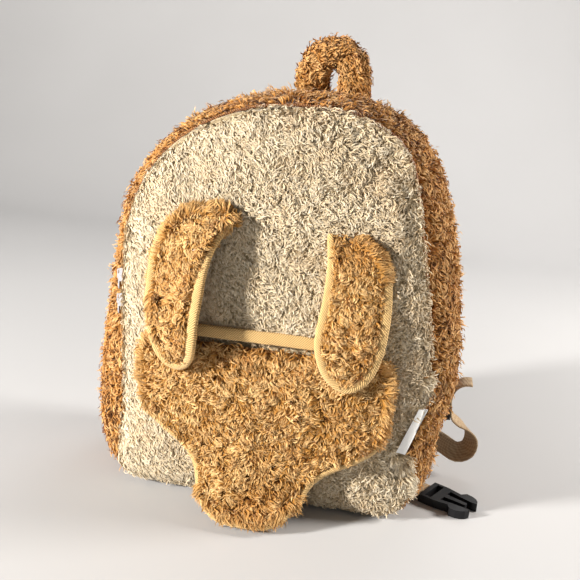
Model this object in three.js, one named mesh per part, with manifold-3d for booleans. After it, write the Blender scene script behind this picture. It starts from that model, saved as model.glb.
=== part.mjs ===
// A small kids backpack in plush, shaped as a soft animal: an arched bag with a cream front panel and
// a caramel gusset, a caramel muzzle-shaped flap with a bound mouth edge, two bound floppy ears, a grab
// loop, a zip round the front seam with two sliders, two padded shoulder straps with ladder locks, a
// waist strap with a side-release buckle and a blank side label.
//
// Millimetres. +X is to the right seen from the front, +Y points to the back, +Z up. The origin is on
// the floor, in the middle of the bag's flat base. The front seam lies in the plane y = -bagDepth / 2.

import * as THREE from "three";
import { mergeVertices } from "three/addons/utils/BufferGeometryUtils.js";
import Module from "manifold-3d";

const wasm = await Module();
wasm.setup();

// Bag
const panelHeight = 293; // floor to the top of the seams
const panelHalfWidth = 116; // middle to the side seams
const bagDepth = 100; // front seam to back seam
const plush = 6; // wall of a plush piece, pile included
const backing = 3; // wall of the plain back panel
const frontCrown = 17; // how far the front panel stands out of its seam
const backCrown = 9; // how far the back panel stands out of its seam
const sideCrown = 30; // how far the gusset stands out beside its seams, at its fullest
const clearance = 0.3; // left between pieces that touch

// Zip round the front seam
const zipRightEnd = 112; // height where the zip ends on the right
const zipLeftEnd = 92; // height where the zip ends on the left
const zipOpening = 10; // tape that shows between the two plushes
const tapeThickness = 1.2;
const tapeSink = 3.4; // tape's underside below the seam outline
const coilWidth = 4.4;
const coilHeight = 1.8;
const coilShare = 0.65; // the coil's part of the tape that shows, where the opening narrows
const upperSliderHeight = 161;
const sliderLength = 10;
const sliderWall = 1.6;
const bridgeLength = 7;
const bridgeWidth = 2.2;
const bridgeBar = 0.8;
const pullLength = 12; // pivot to the end of the tab
const pullWidth = 5.4;
const pullThickness = 1;
const sliderSpare = 2; // between the end of the upper tab and the lower slider
const lowerSliderHeight = upperSliderHeight - pullLength - sliderSpare - sliderLength / 2;

// Flap
const flapHalfWidth = 93;
const flapMouth = 137; // height of its bound top edge
const flapThickness = 8;
const boundEdge = 5; // thickness of a bound edge
const mouthBinding = 9; // width of the binding on the top edge
const mouthReach = 0.9; // half length of the top edge as a share of flapHalfWidth, to the ears' outer edges
const hemBinding = 4.5; // width of the binding on the sides and lower edges
const tongueReach = 38; // how far the hanging tongue comes forward of the flap
const flapHang = 0.42; // below this share of flapMouth the flap hangs free of the panel
const tongueStart = 0.36; // below this share of flapMouth the tongue comes forward
const tongueSides = { full: 0.2, gone: 0.75 }; // shares of flapHalfWidth over which it fades sideways
const cornerLift = 7; // how far the right lower corner stands off the panel
const edgeDrop = 4; // how far the lower edges beside the tongue stand off

// Ears
const earLength = 114;
const earHalfWidth = 27;
const earThickness = 7;
const earBinding = 7;
const earCurl = 15; // how far the left ear's inner edge rolls up
const leftEarPlace = { x: -60, tip: 104 };
const rightEarPlace = { x: 62, tip: 103 };
const earRise = 0.28; // share of earLength over which an ear climbs from the panel onto the flap
const earStep = 3; // height above the flap's mouth where it lies fully on the flap

// Grab loop
const handlePlace = 19; // to the right of the middle
const handleDepth = 38; // behind the middle
const handleTop = 342;
const handleSpan = 56; // outside width
const handleWidth = 24; // section, seen from the front
const handleThickness = 15;
const handleFeet = 0.8; // place of its feet, as a share of half its span

// Straps
const strapWidth = 44;
const strapThickness = 9;
const strapBow = 13; // how far a strap stands off the back
const strapTaper = 0.6; // share of its length after which a strap narrows to its webbing
const strapThin = { end: 0.45, root: 0.3 }; // how much thinner it is at its ends, as shares of its thickness
const webbingWidth = 20;
const webbingThickness = 1.5;
const lockHeight = 20;
const lockFrame = 3.2;
const lockThickness = 4;
const webbingLoop = 14; // how far the slack webbing loops out beside the right ladder lock
const webbingTwist = 0.6; // how far the slack loop turns to face the front, 1 being half a right angle

// Waist buckle
const buckleWidth = 30;
const buckleLength = 40;
const buckleThickness = 6.5;
const buckleTurnDegrees = -29; // turned towards the front as it lies
const buckleArms = 0.38; // share of its length where the arms leave the male half's base
const buckleWaist = 0.86; // width of that base as a share of buckleWidth
const buckleWall = 1.6; // wall of the female half
const waistRun = 20; // webbing that shows between the bag and the male half

// Label
const labelReach = 7; // how far it reaches over the front panel, seen from the front
const labelThickness = 0.7;
// Ends of the label in the right front seam, as shares of panelHalfWidth and panelHeight
const labelEnds = {
  lower: { across: 0.915, height: 0.18 },
  upper: { across: 1.02, height: 0.3 },
};

// Seam outline from the front: height as a share of panelHeight, reach as shares of panelHalfWidth.
const seamRows = [
  { height: 0.0, left: 0.86, right: 0.84 },
  { height: 0.03, left: 0.98, right: 0.96 },
  { height: 0.09, left: 0.985, right: 0.985 },
  { height: 0.17, left: 0.965, right: 0.93 },
  { height: 0.27, left: 0.96, right: 0.985 },
  { height: 0.37, left: 0.965, right: 1.02 },
  { height: 0.5, left: 0.97, right: 0.985 },
  { height: 0.62, left: 0.965, right: 0.93 },
  { height: 0.73, left: 0.93, right: 0.87 },
  { height: 0.84, left: 0.79, right: 0.81 },
  { height: 0.92, left: 0.58, right: 0.73 },
  { height: 0.98, left: 0.27, right: 0.5 },
];
const seamTop = 0.13; // sideways place of the top, as a share of panelHalfWidth

// Gusset: how far it stands out at each height, as shares of sideCrown.
const gussetRows = [
  { height: 0.0, left: 0.55, right: 0.3 },
  { height: 0.08, left: 1.0, right: 0.5 },
  { height: 0.22, left: 1.15, right: 0.75 },
  { height: 0.35, left: 1.06, right: 0.7 },
  { height: 0.5, left: 0.82, right: 0.68 },
  { height: 0.65, left: 0.62, right: 0.72 },
  { height: 0.8, left: 0.48, right: 0.6 },
  { height: 0.92, left: 0.34, right: 0.36 },
  { height: 1.02, left: 0.22, right: 0.22 },
];

// Front panel: crown at each height, as shares of frontCrown.
const crownRows = [
  { height: 0.0, crown: 1.0 },
  { height: 0.2, crown: 1.1 },
  { height: 0.45, crown: 1.1 },
  { height: 0.75, crown: 0.95 },
  { height: 1.0, crown: 0.8 },
];

// How much less the front panel turns in towards its seam where it rests on the floor, and the share of
// panelHeight over which that fades
const floorSag = 0.13;
const sagHeight = 0.14;

// Dents and swells of the front panel: place and reach as shares of panelHalfWidth and panelHeight,
// depth as a share of frontCrown.
const dentRows = [
  { across: 0.9, height: 0.17, reach: 0.3, depth: 0.35 },
  { across: -0.6, height: 0.06, reach: 0.5, depth: -0.3 },
  { across: 0.1, height: 0.62, reach: 0.5, depth: 0.12 },
  { across: -0.6, height: 0.88, reach: 0.3, depth: 0.14 },
];

// Flap outline from its top left corner round the tongue to its top right corner:
// across as shares of flapHalfWidth, up as shares of flapMouth.
const flapRows = [
  { across: -0.98, up: 0.86 },
  { across: -0.97, up: 0.6 },
  { across: -0.92, up: 0.495 },
  { across: -0.76, up: 0.4 },
  { across: -0.57, up: 0.3 },
  { across: -0.46, up: 0.205 },
  { across: -0.4, up: 0.1 },
  { across: -0.26, up: 0.03 },
  { across: 0.0, up: 0.012 },
  { across: 0.24, up: 0.03 },
  { across: 0.38, up: 0.11 },
  { across: 0.46, up: 0.205 },
  { across: 0.6, up: 0.28 },
  { across: 0.8, up: 0.37 },
  { across: 0.95, up: 0.47 },
  { across: 0.99, up: 0.6 },
  { across: 0.98, up: 0.86 },
];

// Ear outline from the inner end of its root round the tip: across as shares of earHalfWidth,
// away from the middle of the bag, up as shares of earLength above the tip.
const leftEarRows = [
  { across: -1.32, up: 0.955 },
  { across: -0.92, up: 0.8 },
  { across: -0.72, up: 0.6 },
  { across: -0.68, up: 0.4 },
  { across: -0.6, up: 0.16 },
  { across: -0.35, up: 0.03 },
  { across: 0.05, up: 0.0 },
  { across: 0.55, up: 0.07 },
  { across: 0.9, up: 0.3 },
  { across: 1.0, up: 0.58 },
  { across: 0.78, up: 0.83 },
  { across: 0.3, up: 0.97 },
  { across: -0.45, up: 1.03 },
  { across: -1.0, up: 1.03 },
];
const rightEarRows = [
  { across: -0.92, up: 0.94 },
  { across: -0.84, up: 0.77 },
  { across: -0.88, up: 0.5 },
  { across: -0.95, up: 0.26 },
  { across: -0.6, up: 0.07 },
  { across: 0.02, up: 0.0 },
  { across: 0.55, up: 0.1 },
  { across: 0.82, up: 0.32 },
  { across: 0.85, up: 0.56 },
  { across: 0.72, up: 0.77 },
  { across: 0.4, up: 0.9 },
  { across: -0.06, up: 0.95 },
];

// Shoulder strap down the back: across as a share of panelHalfWidth, up as a share of panelHeight,
// bow as a share of strapBow, turn from facing back (0) to facing sideways (1).
const strapRows = {
  right: [
    { across: 0.3, up: 0.92, bow: 0.1, turn: 0 },
    { across: 0.36, up: 0.8, bow: 0.75, turn: 0 },
    { across: 0.5, up: 0.62, bow: 1, turn: 0 },
    { across: 0.74, up: 0.46, bow: 0.9, turn: 0.15 },
    { across: 1.0, up: 0.36, bow: 0.2, turn: 0.6 },
    { across: 1.14, up: 0.29, bow: -0.6, turn: 0.95 },
    { across: 1.165, up: 0.235, bow: -0.8, turn: 1 },
  ],
  left: [
    { across: -0.24, up: 0.92, bow: 0.1, turn: 0 },
    { across: -0.32, up: 0.8, bow: 0.75, turn: 0 },
    { across: -0.46, up: 0.6, bow: 1, turn: 0 },
    { across: -0.6, up: 0.42, bow: 0.8, turn: 0 },
    { across: -0.7, up: 0.3, bow: 0.5, turn: 0 },
    { across: -0.74, up: 0.24, bow: 0.35, turn: 0 },
  ],
};

// Slack webbing beside the right ladder lock, from the end of its tail to the bag: out as a share of
// webbingLoop, down from the lock's top as a share of lockHeight.
const slackRows = [
  { out: 1.25, down: -0.42 },
  { out: 0.8, down: -0.44 },
  { out: 0.3, down: -0.25 },
  { out: 0.03, down: 0.15 },
  { out: 0.0, down: 0.5 },
  { out: 0.05, down: 1.0 },
  { out: 0.4, down: 1.25 },
  { out: 0.9, down: 1.55 },
  { out: 1.15, down: 1.95 },
  { out: 0.95, down: 2.4 },
  { out: 0.3, down: 2.55 },
  { out: -0.5, down: 2.2 },
  { out: -1.3, down: 1.85 },
];

// How closely curves are divided
const seamSteps = 48;
const flapSteps = 50;
const earSteps = 30;
const slackSteps = 34;
const labelSteps = 6;

const frontSeam = -bagDepth / 2;
const backSeam = bagDepth / 2;
const middleHeight = panelHeight * 0.46; // the panels are drawn in rings round this height

// Small helpers

function smooth(from, to, at) {
  const share = Math.min(Math.max((at - from) / (to - from), 0), 1);
  return share * share * (3 - 2 * share);
}

function mix(a, b, share) {
  return a + (b - a) * share;
}

// A table's column at a place between its rows, without corners.
function column(rows, key, name, at) {
  let i = 0;
  while (i < rows.length - 2 && at > rows[i + 1][key]) i += 1;
  const [before, from, to, after] = [-1, 0, 1, 2].map(
    (step) => rows[Math.min(Math.max(i + step, 0), rows.length - 1)],
  );
  const span = to[key] - from[key];
  const share = Math.min(Math.max((at - from[key]) / span, 0), 1);
  const slopeFrom = ((to[name] - before[name]) / (to[key] - before[key])) * span;
  const slopeTo = ((after[name] - from[name]) / (after[key] - from[key])) * span;
  const square = share * share;
  const cube = square * share;
  return (
    (2 * cube - 3 * square + 1) * from[name] +
    (cube - 2 * square + share) * slopeFrom +
    (3 * square - 2 * cube) * to[name] +
    (cube - square) * slopeTo
  );
}

function curveThrough(points, closed = false) {
  return new THREE.CatmullRomCurve3(points, closed, "centripetal");
}

// A closed mesh from rows of points. Each row is a loop. The ends are fans, or the last row meets the
// first when joined. Faces are turned outwards.
function loft(rows, joined = false) {
  const size = rows[0].length;
  const points = rows.flat();
  const faces = [];
  const last = joined ? rows.length : rows.length - 1;
  for (let row = 0; row < last; row += 1) {
    const next = (row + 1) % rows.length;
    for (let i = 0; i < size; i += 1) {
      const j = (i + 1) % size;
      const [a, b] = [row * size + i, row * size + j];
      const [c, d] = [next * size + i, next * size + j];
      if (points[a].distanceTo(points[d]) < points[b].distanceTo(points[c])) {
        faces.push([a, b, d], [a, d, c]);
      } else {
        faces.push([a, b, c], [b, d, c]);
      }
    }
  }
  if (!joined) {
    for (const [row, reversed] of [
      [0, true],
      [rows.length - 1, false],
    ]) {
      const centre = new THREE.Vector3();
      rows[row].forEach((point) => centre.addScaledVector(point, 1 / size));
      points.push(centre);
      for (let i = 0; i < size; i += 1) {
        const [a, b] = [row * size + i, row * size + ((i + 1) % size)];
        faces.push(reversed ? [b, a, points.length - 1] : [a, b, points.length - 1]);
      }
    }
  }
  return closedGeometry(points, faces);
}

function closedGeometry(points, faces) {
  let volume = 0;
  for (const [a, b, c] of faces) {
    volume += points[a].dot(new THREE.Vector3().crossVectors(points[b], points[c]));
  }
  const index = faces.flatMap(([a, b, c]) => (volume < 0 ? [a, c, b] : [a, b, c]));
  const geometry = new THREE.BufferGeometry().setFromPoints(points);
  geometry.setIndex(index);
  return geometry;
}

function solidOf(geometry) {
  const bare = geometry.clone();
  bare.deleteAttribute("normal");
  bare.deleteAttribute("uv");
  const merged = mergeVertices(bare, 1e-4);
  return new wasm.Manifold(
    new wasm.Mesh({
      numProp: 3,
      vertProperties: new Float32Array(merged.attributes.position.array),
      triVerts: new Uint32Array(merged.index.array),
    }),
  );
}

function geometryOf(solid) {
  const mesh = solid.getMesh();
  const positions = new Float32Array(mesh.numVert * 3);
  for (let i = 0; i < mesh.numVert; i += 1) {
    const start = i * mesh.numProp;
    positions.set(mesh.vertProperties.subarray(start, start + 3), i * 3);
  }
  const geometry = new THREE.BufferGeometry();
  geometry.setAttribute("position", new THREE.BufferAttribute(positions, 3));
  geometry.setIndex(new THREE.BufferAttribute(mesh.triVerts, 1));
  return geometry;
}

// A box by its lowest and highest corners, moved into place by a matrix.
function box(low, high, matrix = new THREE.Matrix4()) {
  const size = high.map((value, i) => value - low[i]);
  const geometry = new THREE.BoxGeometry(...size);
  geometry.translate(...low.map((value, i) => value + size[i] / 2));
  geometry.applyMatrix4(matrix);
  return geometry;
}

// Rounded rectangle as a short loop of [side, normal] pairs.
function section(width, thickness, corner = thickness * 0.3) {
  const [w, t] = [width / 2, thickness / 2];
  return [
    [w - corner, t],
    [corner - w, t],
    [-w, t - corner],
    [-w, corner - t],
    [corner - w, -t],
    [w - corner, -t],
    [w, corner - t],
    [w, t - corner],
  ];
}

function ellipse(width, thickness, sides) {
  return Array.from({ length: sides }, (_, i) => {
    const angle = (i / sides) * 2 * Math.PI;
    return [(Math.cos(angle) * width) / 2, (Math.sin(angle) * thickness) / 2];
  });
}

// Sweeps a section along points. facing(i) is the way its second axis looks.
function sweep(path, facing, sectionAt) {
  const rows = path.map((point, i) => {
    const ahead = path[Math.min(i + 1, path.length - 1)];
    const behind = path[Math.max(i - 1, 0)];
    const along = ahead.clone().sub(behind).normalize();
    const normal = facing(i).clone();
    normal.addScaledVector(along, -normal.dot(along)).normalize();
    const side = new THREE.Vector3().crossVectors(along, normal);
    return sectionAt(i).map(([a, b]) => point.clone().addScaledVector(side, a).addScaledVector(normal, b));
  });
  return loft(rows);
}

// Seam outline

function outlinePoint(across, height) {
  return new THREE.Vector3(across * panelHalfWidth, 0, height * panelHeight);
}

const seamCurve = curveThrough(
  [
    outlinePoint(0, 0),
    ...seamRows.map((row) => outlinePoint(row.right, row.height)),
    outlinePoint(seamTop, 1),
    ...seamRows.toReversed().map((row) => outlinePoint(-row.left, row.height)),
  ],
  true,
);
const seamLoop = seamCurve.getSpacedPoints(seamSteps).slice(0, seamSteps);
seamLoop.forEach((point) => {
  point.z = Math.max(point.z, 0);
});

function loopNormals(loop) {
  return loop.map((point, i) => {
    const ahead = loop[(i + 1) % loop.length];
    const behind = loop[(i + loop.length - 1) % loop.length];
    return new THREE.Vector3(ahead.z - behind.z, 0, behind.x - ahead.x).normalize();
  });
}

const seamNormals = loopNormals(seamLoop);

// Zip: how far the two plushes part at each point of the seam
const zipFrom = seamLoop.findIndex((point) => point.z > zipRightEnd);
const zipTo = seamLoop.findLastIndex((point) => point.z > zipLeftEnd);
const partings = seamLoop.map((_, i) => {
  const inside = Math.min(i - zipFrom, zipTo - i);
  return mix(clearance, zipOpening, smooth(-1, 2, inside));
});

// The seam seen from the middle: its distance and parting at each angle
const seamPolar = seamLoop
  .map((point, i) => ({
    angle: Math.atan2(point.z - middleHeight, point.x),
    radius: Math.hypot(point.z - middleHeight, point.x),
    parting: partings[i],
  }))
  .sort((a, b) => a.angle - b.angle);

// Share of the way from the middle to the seam, and the seam's parting in that direction
function seamPlace(x, z) {
  const up = z - middleHeight;
  const angle = Math.atan2(up, x);
  const after = seamPolar.findIndex((entry) => entry.angle > angle);
  const to = seamPolar[after < 0 ? 0 : after];
  const from = seamPolar.at(after < 0 ? -1 : after - 1);
  const turn = 2 * Math.PI;
  const between = ((angle - from.angle + turn) % turn) / ((to.angle - from.angle + turn) % turn);
  return {
    share: Math.hypot(x, up) / mix(from.radius, to.radius, between),
    parting: mix(from.parting, to.parting, between),
  };
}

function pillow(share) {
  return Math.sqrt(1 - Math.min(share, 1) ** 4);
}

// How far the front panel's outer face lies in front of the front seam, its half of the parting included
function frontBulge(x, z) {
  const { share, parting } = seamPlace(x, z);
  const height = z / panelHeight;
  let crown = column(crownRows, "height", "crown", height);
  for (const dent of dentRows) {
    const away = Math.hypot(x / panelHalfWidth - dent.across, (height - dent.height) * 2) / dent.reach;
    crown -= dent.depth * (1 - smooth(0, 1, away));
  }
  const sag = floorSag * smooth(sagHeight, 0, height);
  return frontCrown * crown * pillow(share * (1 - sag)) + (parting / 2) * Math.min(share, 1) ** 4;
}

function backBulge(x, z) {
  return backCrown * pillow(seamPlace(x, z).share) + clearance / 2;
}

// Panels: a dish that is open towards the inside of the bag
function panel(bulge, wall, seam, outwards) {
  const ring = (share, depth, offset) =>
    seamLoop.map((point, i) => {
      const x = mix(0, point.x, share) - seamNormals[i].x * offset;
      const z = Math.max(mix(middleHeight, point.z, share) - seamNormals[i].z * offset, offset);
      return new THREE.Vector3(x, seam + outwards * depth(x, z, share, i), z);
    });
  const rimDepth = (x, z, share, i) => (outwards < 0 ? partings[i] : clearance) / 2;
  const outside = [0.1, 0.5, 0.75, 0.88, 0.955, 0.99].map((share) => ring(share, bulge, 0));
  const rim = [ring(1, rimDepth, 0), ring(1, rimDepth, wall)];
  const lining = (x, z, share, i) =>
    mix(Math.max(bulge(x, z) - wall, clearance), rimDepth(x, z, share, i), share ** 6);
  const inside = [0.9, 0.75, 0.45, 0.1].map((share) => ring(share, lining, wall * share));
  return loft([...outside, ...rim, ...inside]);
}

// Gusset: a closed band between the two seams
function gussetBulge(i) {
  const height = seamLoop[i].z / panelHeight;
  const left = column(gussetRows, "height", "left", height);
  const right = column(gussetRows, "height", "right", height);
  const side = smooth(-0.5, 0.5, seamLoop[i].x / panelHalfWidth);
  return sideCrown * mix(left, right, side);
}

function gussetRing(share, offset) {
  return seamLoop.map((point, i) => {
    const out = gussetBulge(i) * Math.sin(Math.PI * share) ** 0.7 + offset;
    const from = frontSeam + partings[i] / 2;
    const to = backSeam - clearance / 2;
    const floor = Math.max(-offset, 0);
    return new THREE.Vector3(
      point.x + seamNormals[i].x * out,
      mix(from, to, share),
      Math.max(point.z + seamNormals[i].z * out, floor),
    );
  });
}

function gusset() {
  const outside = [0, 0.06, 0.2, 0.4, 0.6, 0.8, 0.94, 1].map((share) => gussetRing(share, 0));
  const inside = [1, 0.8, 0.5, 0.2, 0].map((share) => gussetRing(share, -plush));
  return loft([...outside, ...inside], true);
}

// The space that the bag takes up, a clearance larger, for cutting what sits on it
function bagSpace() {
  const grow = (ring) => ring.map((point, i) => point.clone().addScaledVector(seamNormals[i], clearance));
  const rings = [0, 0.06, 0.2, 0.4, 0.6, 0.8, 0.94, 1].map((share) => grow(gussetRing(share, 0)));
  const cap = (seam, bulge, outwards) => (share) =>
    seamLoop.map((point) => {
      const x = point.x * share;
      const z = mix(middleHeight, point.z, share);
      return new THREE.Vector3(x, seam + outwards * (bulge(x, z) + clearance), z);
    });
  const front = [0.1, 0.5, 0.75, 0.88, 0.955, 0.99].map(cap(frontSeam, frontBulge, -1));
  const back = [0.99, 0.955, 0.88, 0.75, 0.5, 0.1].map(cap(backSeam, backBulge, 1));
  return solidOf(loft([...front, ...rings, ...back]));
}

function cutByBag(geometry) {
  return geometryOf(solidOf(geometry).subtract(bagSpace()));
}

// Zip tape, coil, sliders and pulls

function zipRun(lift, width, height) {
  const path = [];
  const facings = [];
  const sections = [];
  for (let i = zipFrom; i <= zipTo; i += 1) {
    path.push(seamLoop[i].clone().setY(frontSeam).addScaledVector(seamNormals[i], lift));
    facings.push(seamNormals[i]);
    sections.push(section(width(i), height));
  }
  return sweep(
    path,
    (i) => facings[i],
    (i) => sections[i],
  );
}

const tapeTop = tapeThickness - tapeSink;
const coilTop = tapeTop + clearance + coilHeight;

function zipTape() {
  return zipRun(tapeThickness / 2 - tapeSink, (i) => partings[i] - 2 * clearance, tapeThickness);
}

function zipCoil() {
  const width = (i) => Math.min(coilWidth, (partings[i] - 2 * clearance) * coilShare);
  return zipRun(tapeTop + clearance + coilHeight / 2, width, coilHeight);
}

// Place on the left seam at a height: x points out of the seam, y to the back, z along the zip
function sliderMatrix(height) {
  const below = seamLoop.findLastIndex((point) => point.z > height);
  const [upper, lower] = [seamLoop[below], seamLoop[below + 1]];
  const point = upper.clone().lerp(lower, (upper.z - height) / (upper.z - lower.z));
  const along = upper.clone().sub(lower).normalize();
  const across = new THREE.Vector3(0, -1, 0);
  const out = new THREE.Vector3().crossVectors(across, along);
  return new THREE.Matrix4().makeBasis(out, across, along).setPosition(point.setY(frontSeam));
}

const sliderTop = coilTop + clearance + sliderWall;
const pivotLift = sliderTop + clearance + pullThickness / 2;
const bridgeTop = pivotLift + pullThickness / 2 + 2 * clearance;

function slider(height) {
  const channel = coilWidth / 2 + clearance;
  const halfWidth = channel + sliderWall;
  const halfLength = sliderLength / 2;
  const halfBridge = bridgeLength / 2;
  const body = box([tapeTop + clearance, -halfWidth, -halfLength], [sliderTop, halfWidth, halfLength]);
  const groove = box([tapeTop, -channel, -halfLength - 1], [coilTop + clearance, channel, halfLength + 1]);
  const bridge = box(
    [sliderTop - bridgeBar / 2, -bridgeWidth / 2, -halfBridge],
    [bridgeTop + bridgeBar, bridgeWidth / 2, halfBridge],
  );
  const eye = box(
    [sliderTop, -bridgeWidth, bridgeBar - halfBridge],
    [bridgeTop, bridgeWidth, halfBridge - bridgeBar],
  );
  const solid = solidOf(body).subtract(solidOf(groove)).add(solidOf(bridge).subtract(solidOf(eye)));
  return geometryOf(solid).applyMatrix4(sliderMatrix(height));
}

function pull(height) {
  const half = pullWidth / 2;
  const pin = pullThickness / 2;
  const window = bridgeLength / 2 + 2 * bridgeBar;
  const outline = new THREE.Shape();
  outline.moveTo(-half, pin);
  outline.lineTo(-half, half - pullLength);
  outline.absarc(0, half - pullLength, half, Math.PI, 2 * Math.PI);
  outline.lineTo(half, pin);
  const opening = new THREE.Path();
  const reach = bridgeWidth / 2 + clearance;
  opening.setFromPoints([
    new THREE.Vector2(-reach, -pin),
    new THREE.Vector2(reach, -pin),
    new THREE.Vector2(reach, -window),
    new THREE.Vector2(-reach, -window),
  ]);
  outline.holes.push(opening);
  const geometry = new THREE.ExtrudeGeometry(outline, {
    depth: pullThickness,
    bevelEnabled: false,
    curveSegments: 6,
  });
  // shape x runs across the zip, shape y along it, the extrusion outwards
  const turn = new THREE.Matrix4().makeBasis(
    new THREE.Vector3(0, 1, 0),
    new THREE.Vector3(0, 0, 1),
    new THREE.Vector3(1, 0, 0),
  );
  geometry.translate(0, 0, -pullThickness / 2);
  geometry.applyMatrix4(turn);
  geometry.translate(pivotLift, 0, 0);
  return closedGeometryOf(geometry.applyMatrix4(sliderMatrix(height)));
}

function closedGeometryOf(geometry) {
  return geometryOf(solidOf(geometry));
}

// Sheets: padded pieces that lie on the bag. back(x, z) is the y of the face towards the bag.

function sheetPoint(sheet, x, z, height) {
  const step = 1;
  const slopeX = (sheet.back(x + step, z) - sheet.back(x - step, z)) / (2 * step);
  const slopeZ = (sheet.back(x, z + step) - sheet.back(x, z - step)) / (2 * step);
  const normal = new THREE.Vector3(slopeX, -1, slopeZ).normalize();
  return new THREE.Vector3(x, sheet.back(x, z), z).addScaledVector(normal, height);
}

// Outward directions along an open edge
function edgeNormals(edge) {
  return edge.map((_, i) => {
    const ahead = edge[Math.min(i + 1, edge.length - 1)];
    const behind = edge[Math.max(i - 1, 0)];
    return new THREE.Vector3(ahead.z - behind.z, 0, behind.x - ahead.x).normalize();
  });
}

// The loop of a slab inside a bound edge, closed by points on the straight line between its ends
function insideEdge(edge, width, closing) {
  const normals = edgeNormals(edge);
  const inner = edge.map((point, i) => {
    const inset = width(i / (edge.length - 1)) + clearance;
    return point.clone().addScaledVector(normals[i], -inset);
  });
  const line = Array.from({ length: closing }, (_, i) =>
    inner
      .at(-1)
      .clone()
      .lerp(inner[0], (i + 1) / (closing + 1)),
  );
  return [...inner, ...line];
}

function sheetSlab(sheet, loop) {
  const centre = new THREE.Vector3();
  loop.forEach((point) => centre.addScaledVector(point, 1 / loop.length));
  const ring = (share, height) =>
    loop.map((point) => {
      const place = centre.clone().lerp(point, share);
      return sheetPoint(sheet, place.x, place.z, height);
    });
  const middle = boundEdge / 2;
  return loft([
    ring(0.12, sheet.thickness),
    ring(0.5, sheet.thickness),
    ring(0.8, mix(boundEdge, sheet.thickness, 0.8)),
    ring(0.93, boundEdge),
    ring(1, middle * 1.5),
    ring(1, middle * 0.5),
    ring(0.93, 0),
    ring(0.6, 0),
    ring(0.15, 0),
  ]);
}

// A binding folded over an edge of a sheet. width(share) is its width along the edge.
function binding(sheet, edge, width) {
  const normals = edgeNormals(edge);
  const corner = boundEdge * 0.3;
  const rows = edge.map((point, i) => {
    const inner = width(i / (edge.length - 1));
    const place = (inwards, height) => {
      const at = point.clone().addScaledVector(normals[i], -inwards);
      return sheetPoint(sheet, at.x, at.z, height);
    };
    return [
      place(inner, 0),
      place(corner, 0),
      place(0, corner),
      place(0, boundEdge - corner),
      place(corner, boundEdge),
      place(inner, boundEdge),
    ];
  });
  return loft(rows);
}

// Flap

const flapTop = flapMouth - mouthBinding - clearance; // the plush ends here, under the mouth binding
const mouthHalf = mouthReach * flapHalfWidth;
const flapEdge = curveThrough([
  new THREE.Vector3(-mouthHalf, 0, flapTop),
  ...flapRows.map((row) => new THREE.Vector3(row.across * flapHalfWidth, 0, row.up * flapMouth)),
  new THREE.Vector3(mouthHalf, 0, flapTop),
]).getSpacedPoints(flapSteps);
const mouthEdge = [-1, -0.75, -0.5, -0.25, 0, 0.25, 0.5, 0.75, 1].map(
  (share) => new THREE.Vector3(-share * mouthHalf, 0, flapMouth),
);

const flap = {
  thickness: flapThickness,
  back: (x, z) => {
    const up = z / flapMouth;
    const lie = frontBulge(x, Math.max(up, flapHang) * flapMouth) + 2 * clearance;
    const tongue = smooth(tongueSides.gone, tongueSides.full, Math.abs(x) / flapHalfWidth);
    const reach = tongueReach * tongue * Math.max(1 - up / tongueStart, 0) ** 1.4;
    const corner = cornerLift * smooth(0.35, 1, x / flapHalfWidth) * smooth(0.95, 0.5, up);
    const edge = edgeDrop * (1 - smooth(0, tongueStart, up)) * (1 - tongue);
    return frontSeam - lie - reach - corner - edge;
  },
};

function flapBody() {
  return sheetSlab(flap, insideEdge(flapEdge, () => hemBinding, 5));
}

function flapHem() {
  return binding(flap, flapEdge, () => hemBinding);
}

function flapMouthBinding() {
  return binding(flap, mouthEdge, () => mouthBinding);
}

// Ears

function earEdge(rows, place, mirror) {
  const points = rows.map(
    (row) =>
      new THREE.Vector3(place.x + mirror * row.across * earHalfWidth, 0, place.tip + row.up * earLength),
  );
  const curve = curveThrough(points);
  const edge = curve.getSpacedPoints(earSteps);
  return mirror > 0 ? edge : edge.reverse();
}

function earSheet(place, mirror, curl) {
  return {
    thickness: earThickness,
    back: (x, z) => {
      const over = 1 - smooth(flapMouth + earStep, flapMouth + earRise * earLength, z);
      const flapLie = frontSeam - flap.back(x, Math.min(z, flapMouth));
      const under = mix(frontBulge(x, z), flapLie, over);
      const across = (mirror * (x - place.x)) / earHalfWidth;
      const up = (z - place.tip) / earLength;
      const roll = curl * smooth(0.5, -0.9, across) * smooth(1, 0.75, up) * smooth(-0.1, 0.3, up);
      return frontSeam - under - 2 * clearance - over * (flapThickness + clearance) - roll;
    },
  };
}

const ears = [
  { name: "ear_left", rows: leftEarRows, place: leftEarPlace, mirror: -1, curl: earCurl, narrow: 0.4 },
  { name: "ear_right", rows: rightEarRows, place: rightEarPlace, mirror: 1, curl: 0, narrow: 0.8 },
].map((ear) => ({
  ...ear,
  edge: earEdge(ear.rows, ear.place, ear.mirror),
  sheet: earSheet(ear.place, ear.mirror, ear.curl),
}));

// The binding narrows towards a pinched root
function earWidth(ear) {
  return (share) => earBinding * mix(ear.narrow, 1, smooth(0, 0.22, Math.min(share, 1 - share)));
}

function earBody(ear) {
  return sheetSlab(ear.sheet, insideEdge(ear.edge, earWidth(ear), 2));
}

function earBound(ear) {
  return binding(ear.sheet, ear.edge, earWidth(ear));
}

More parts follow.
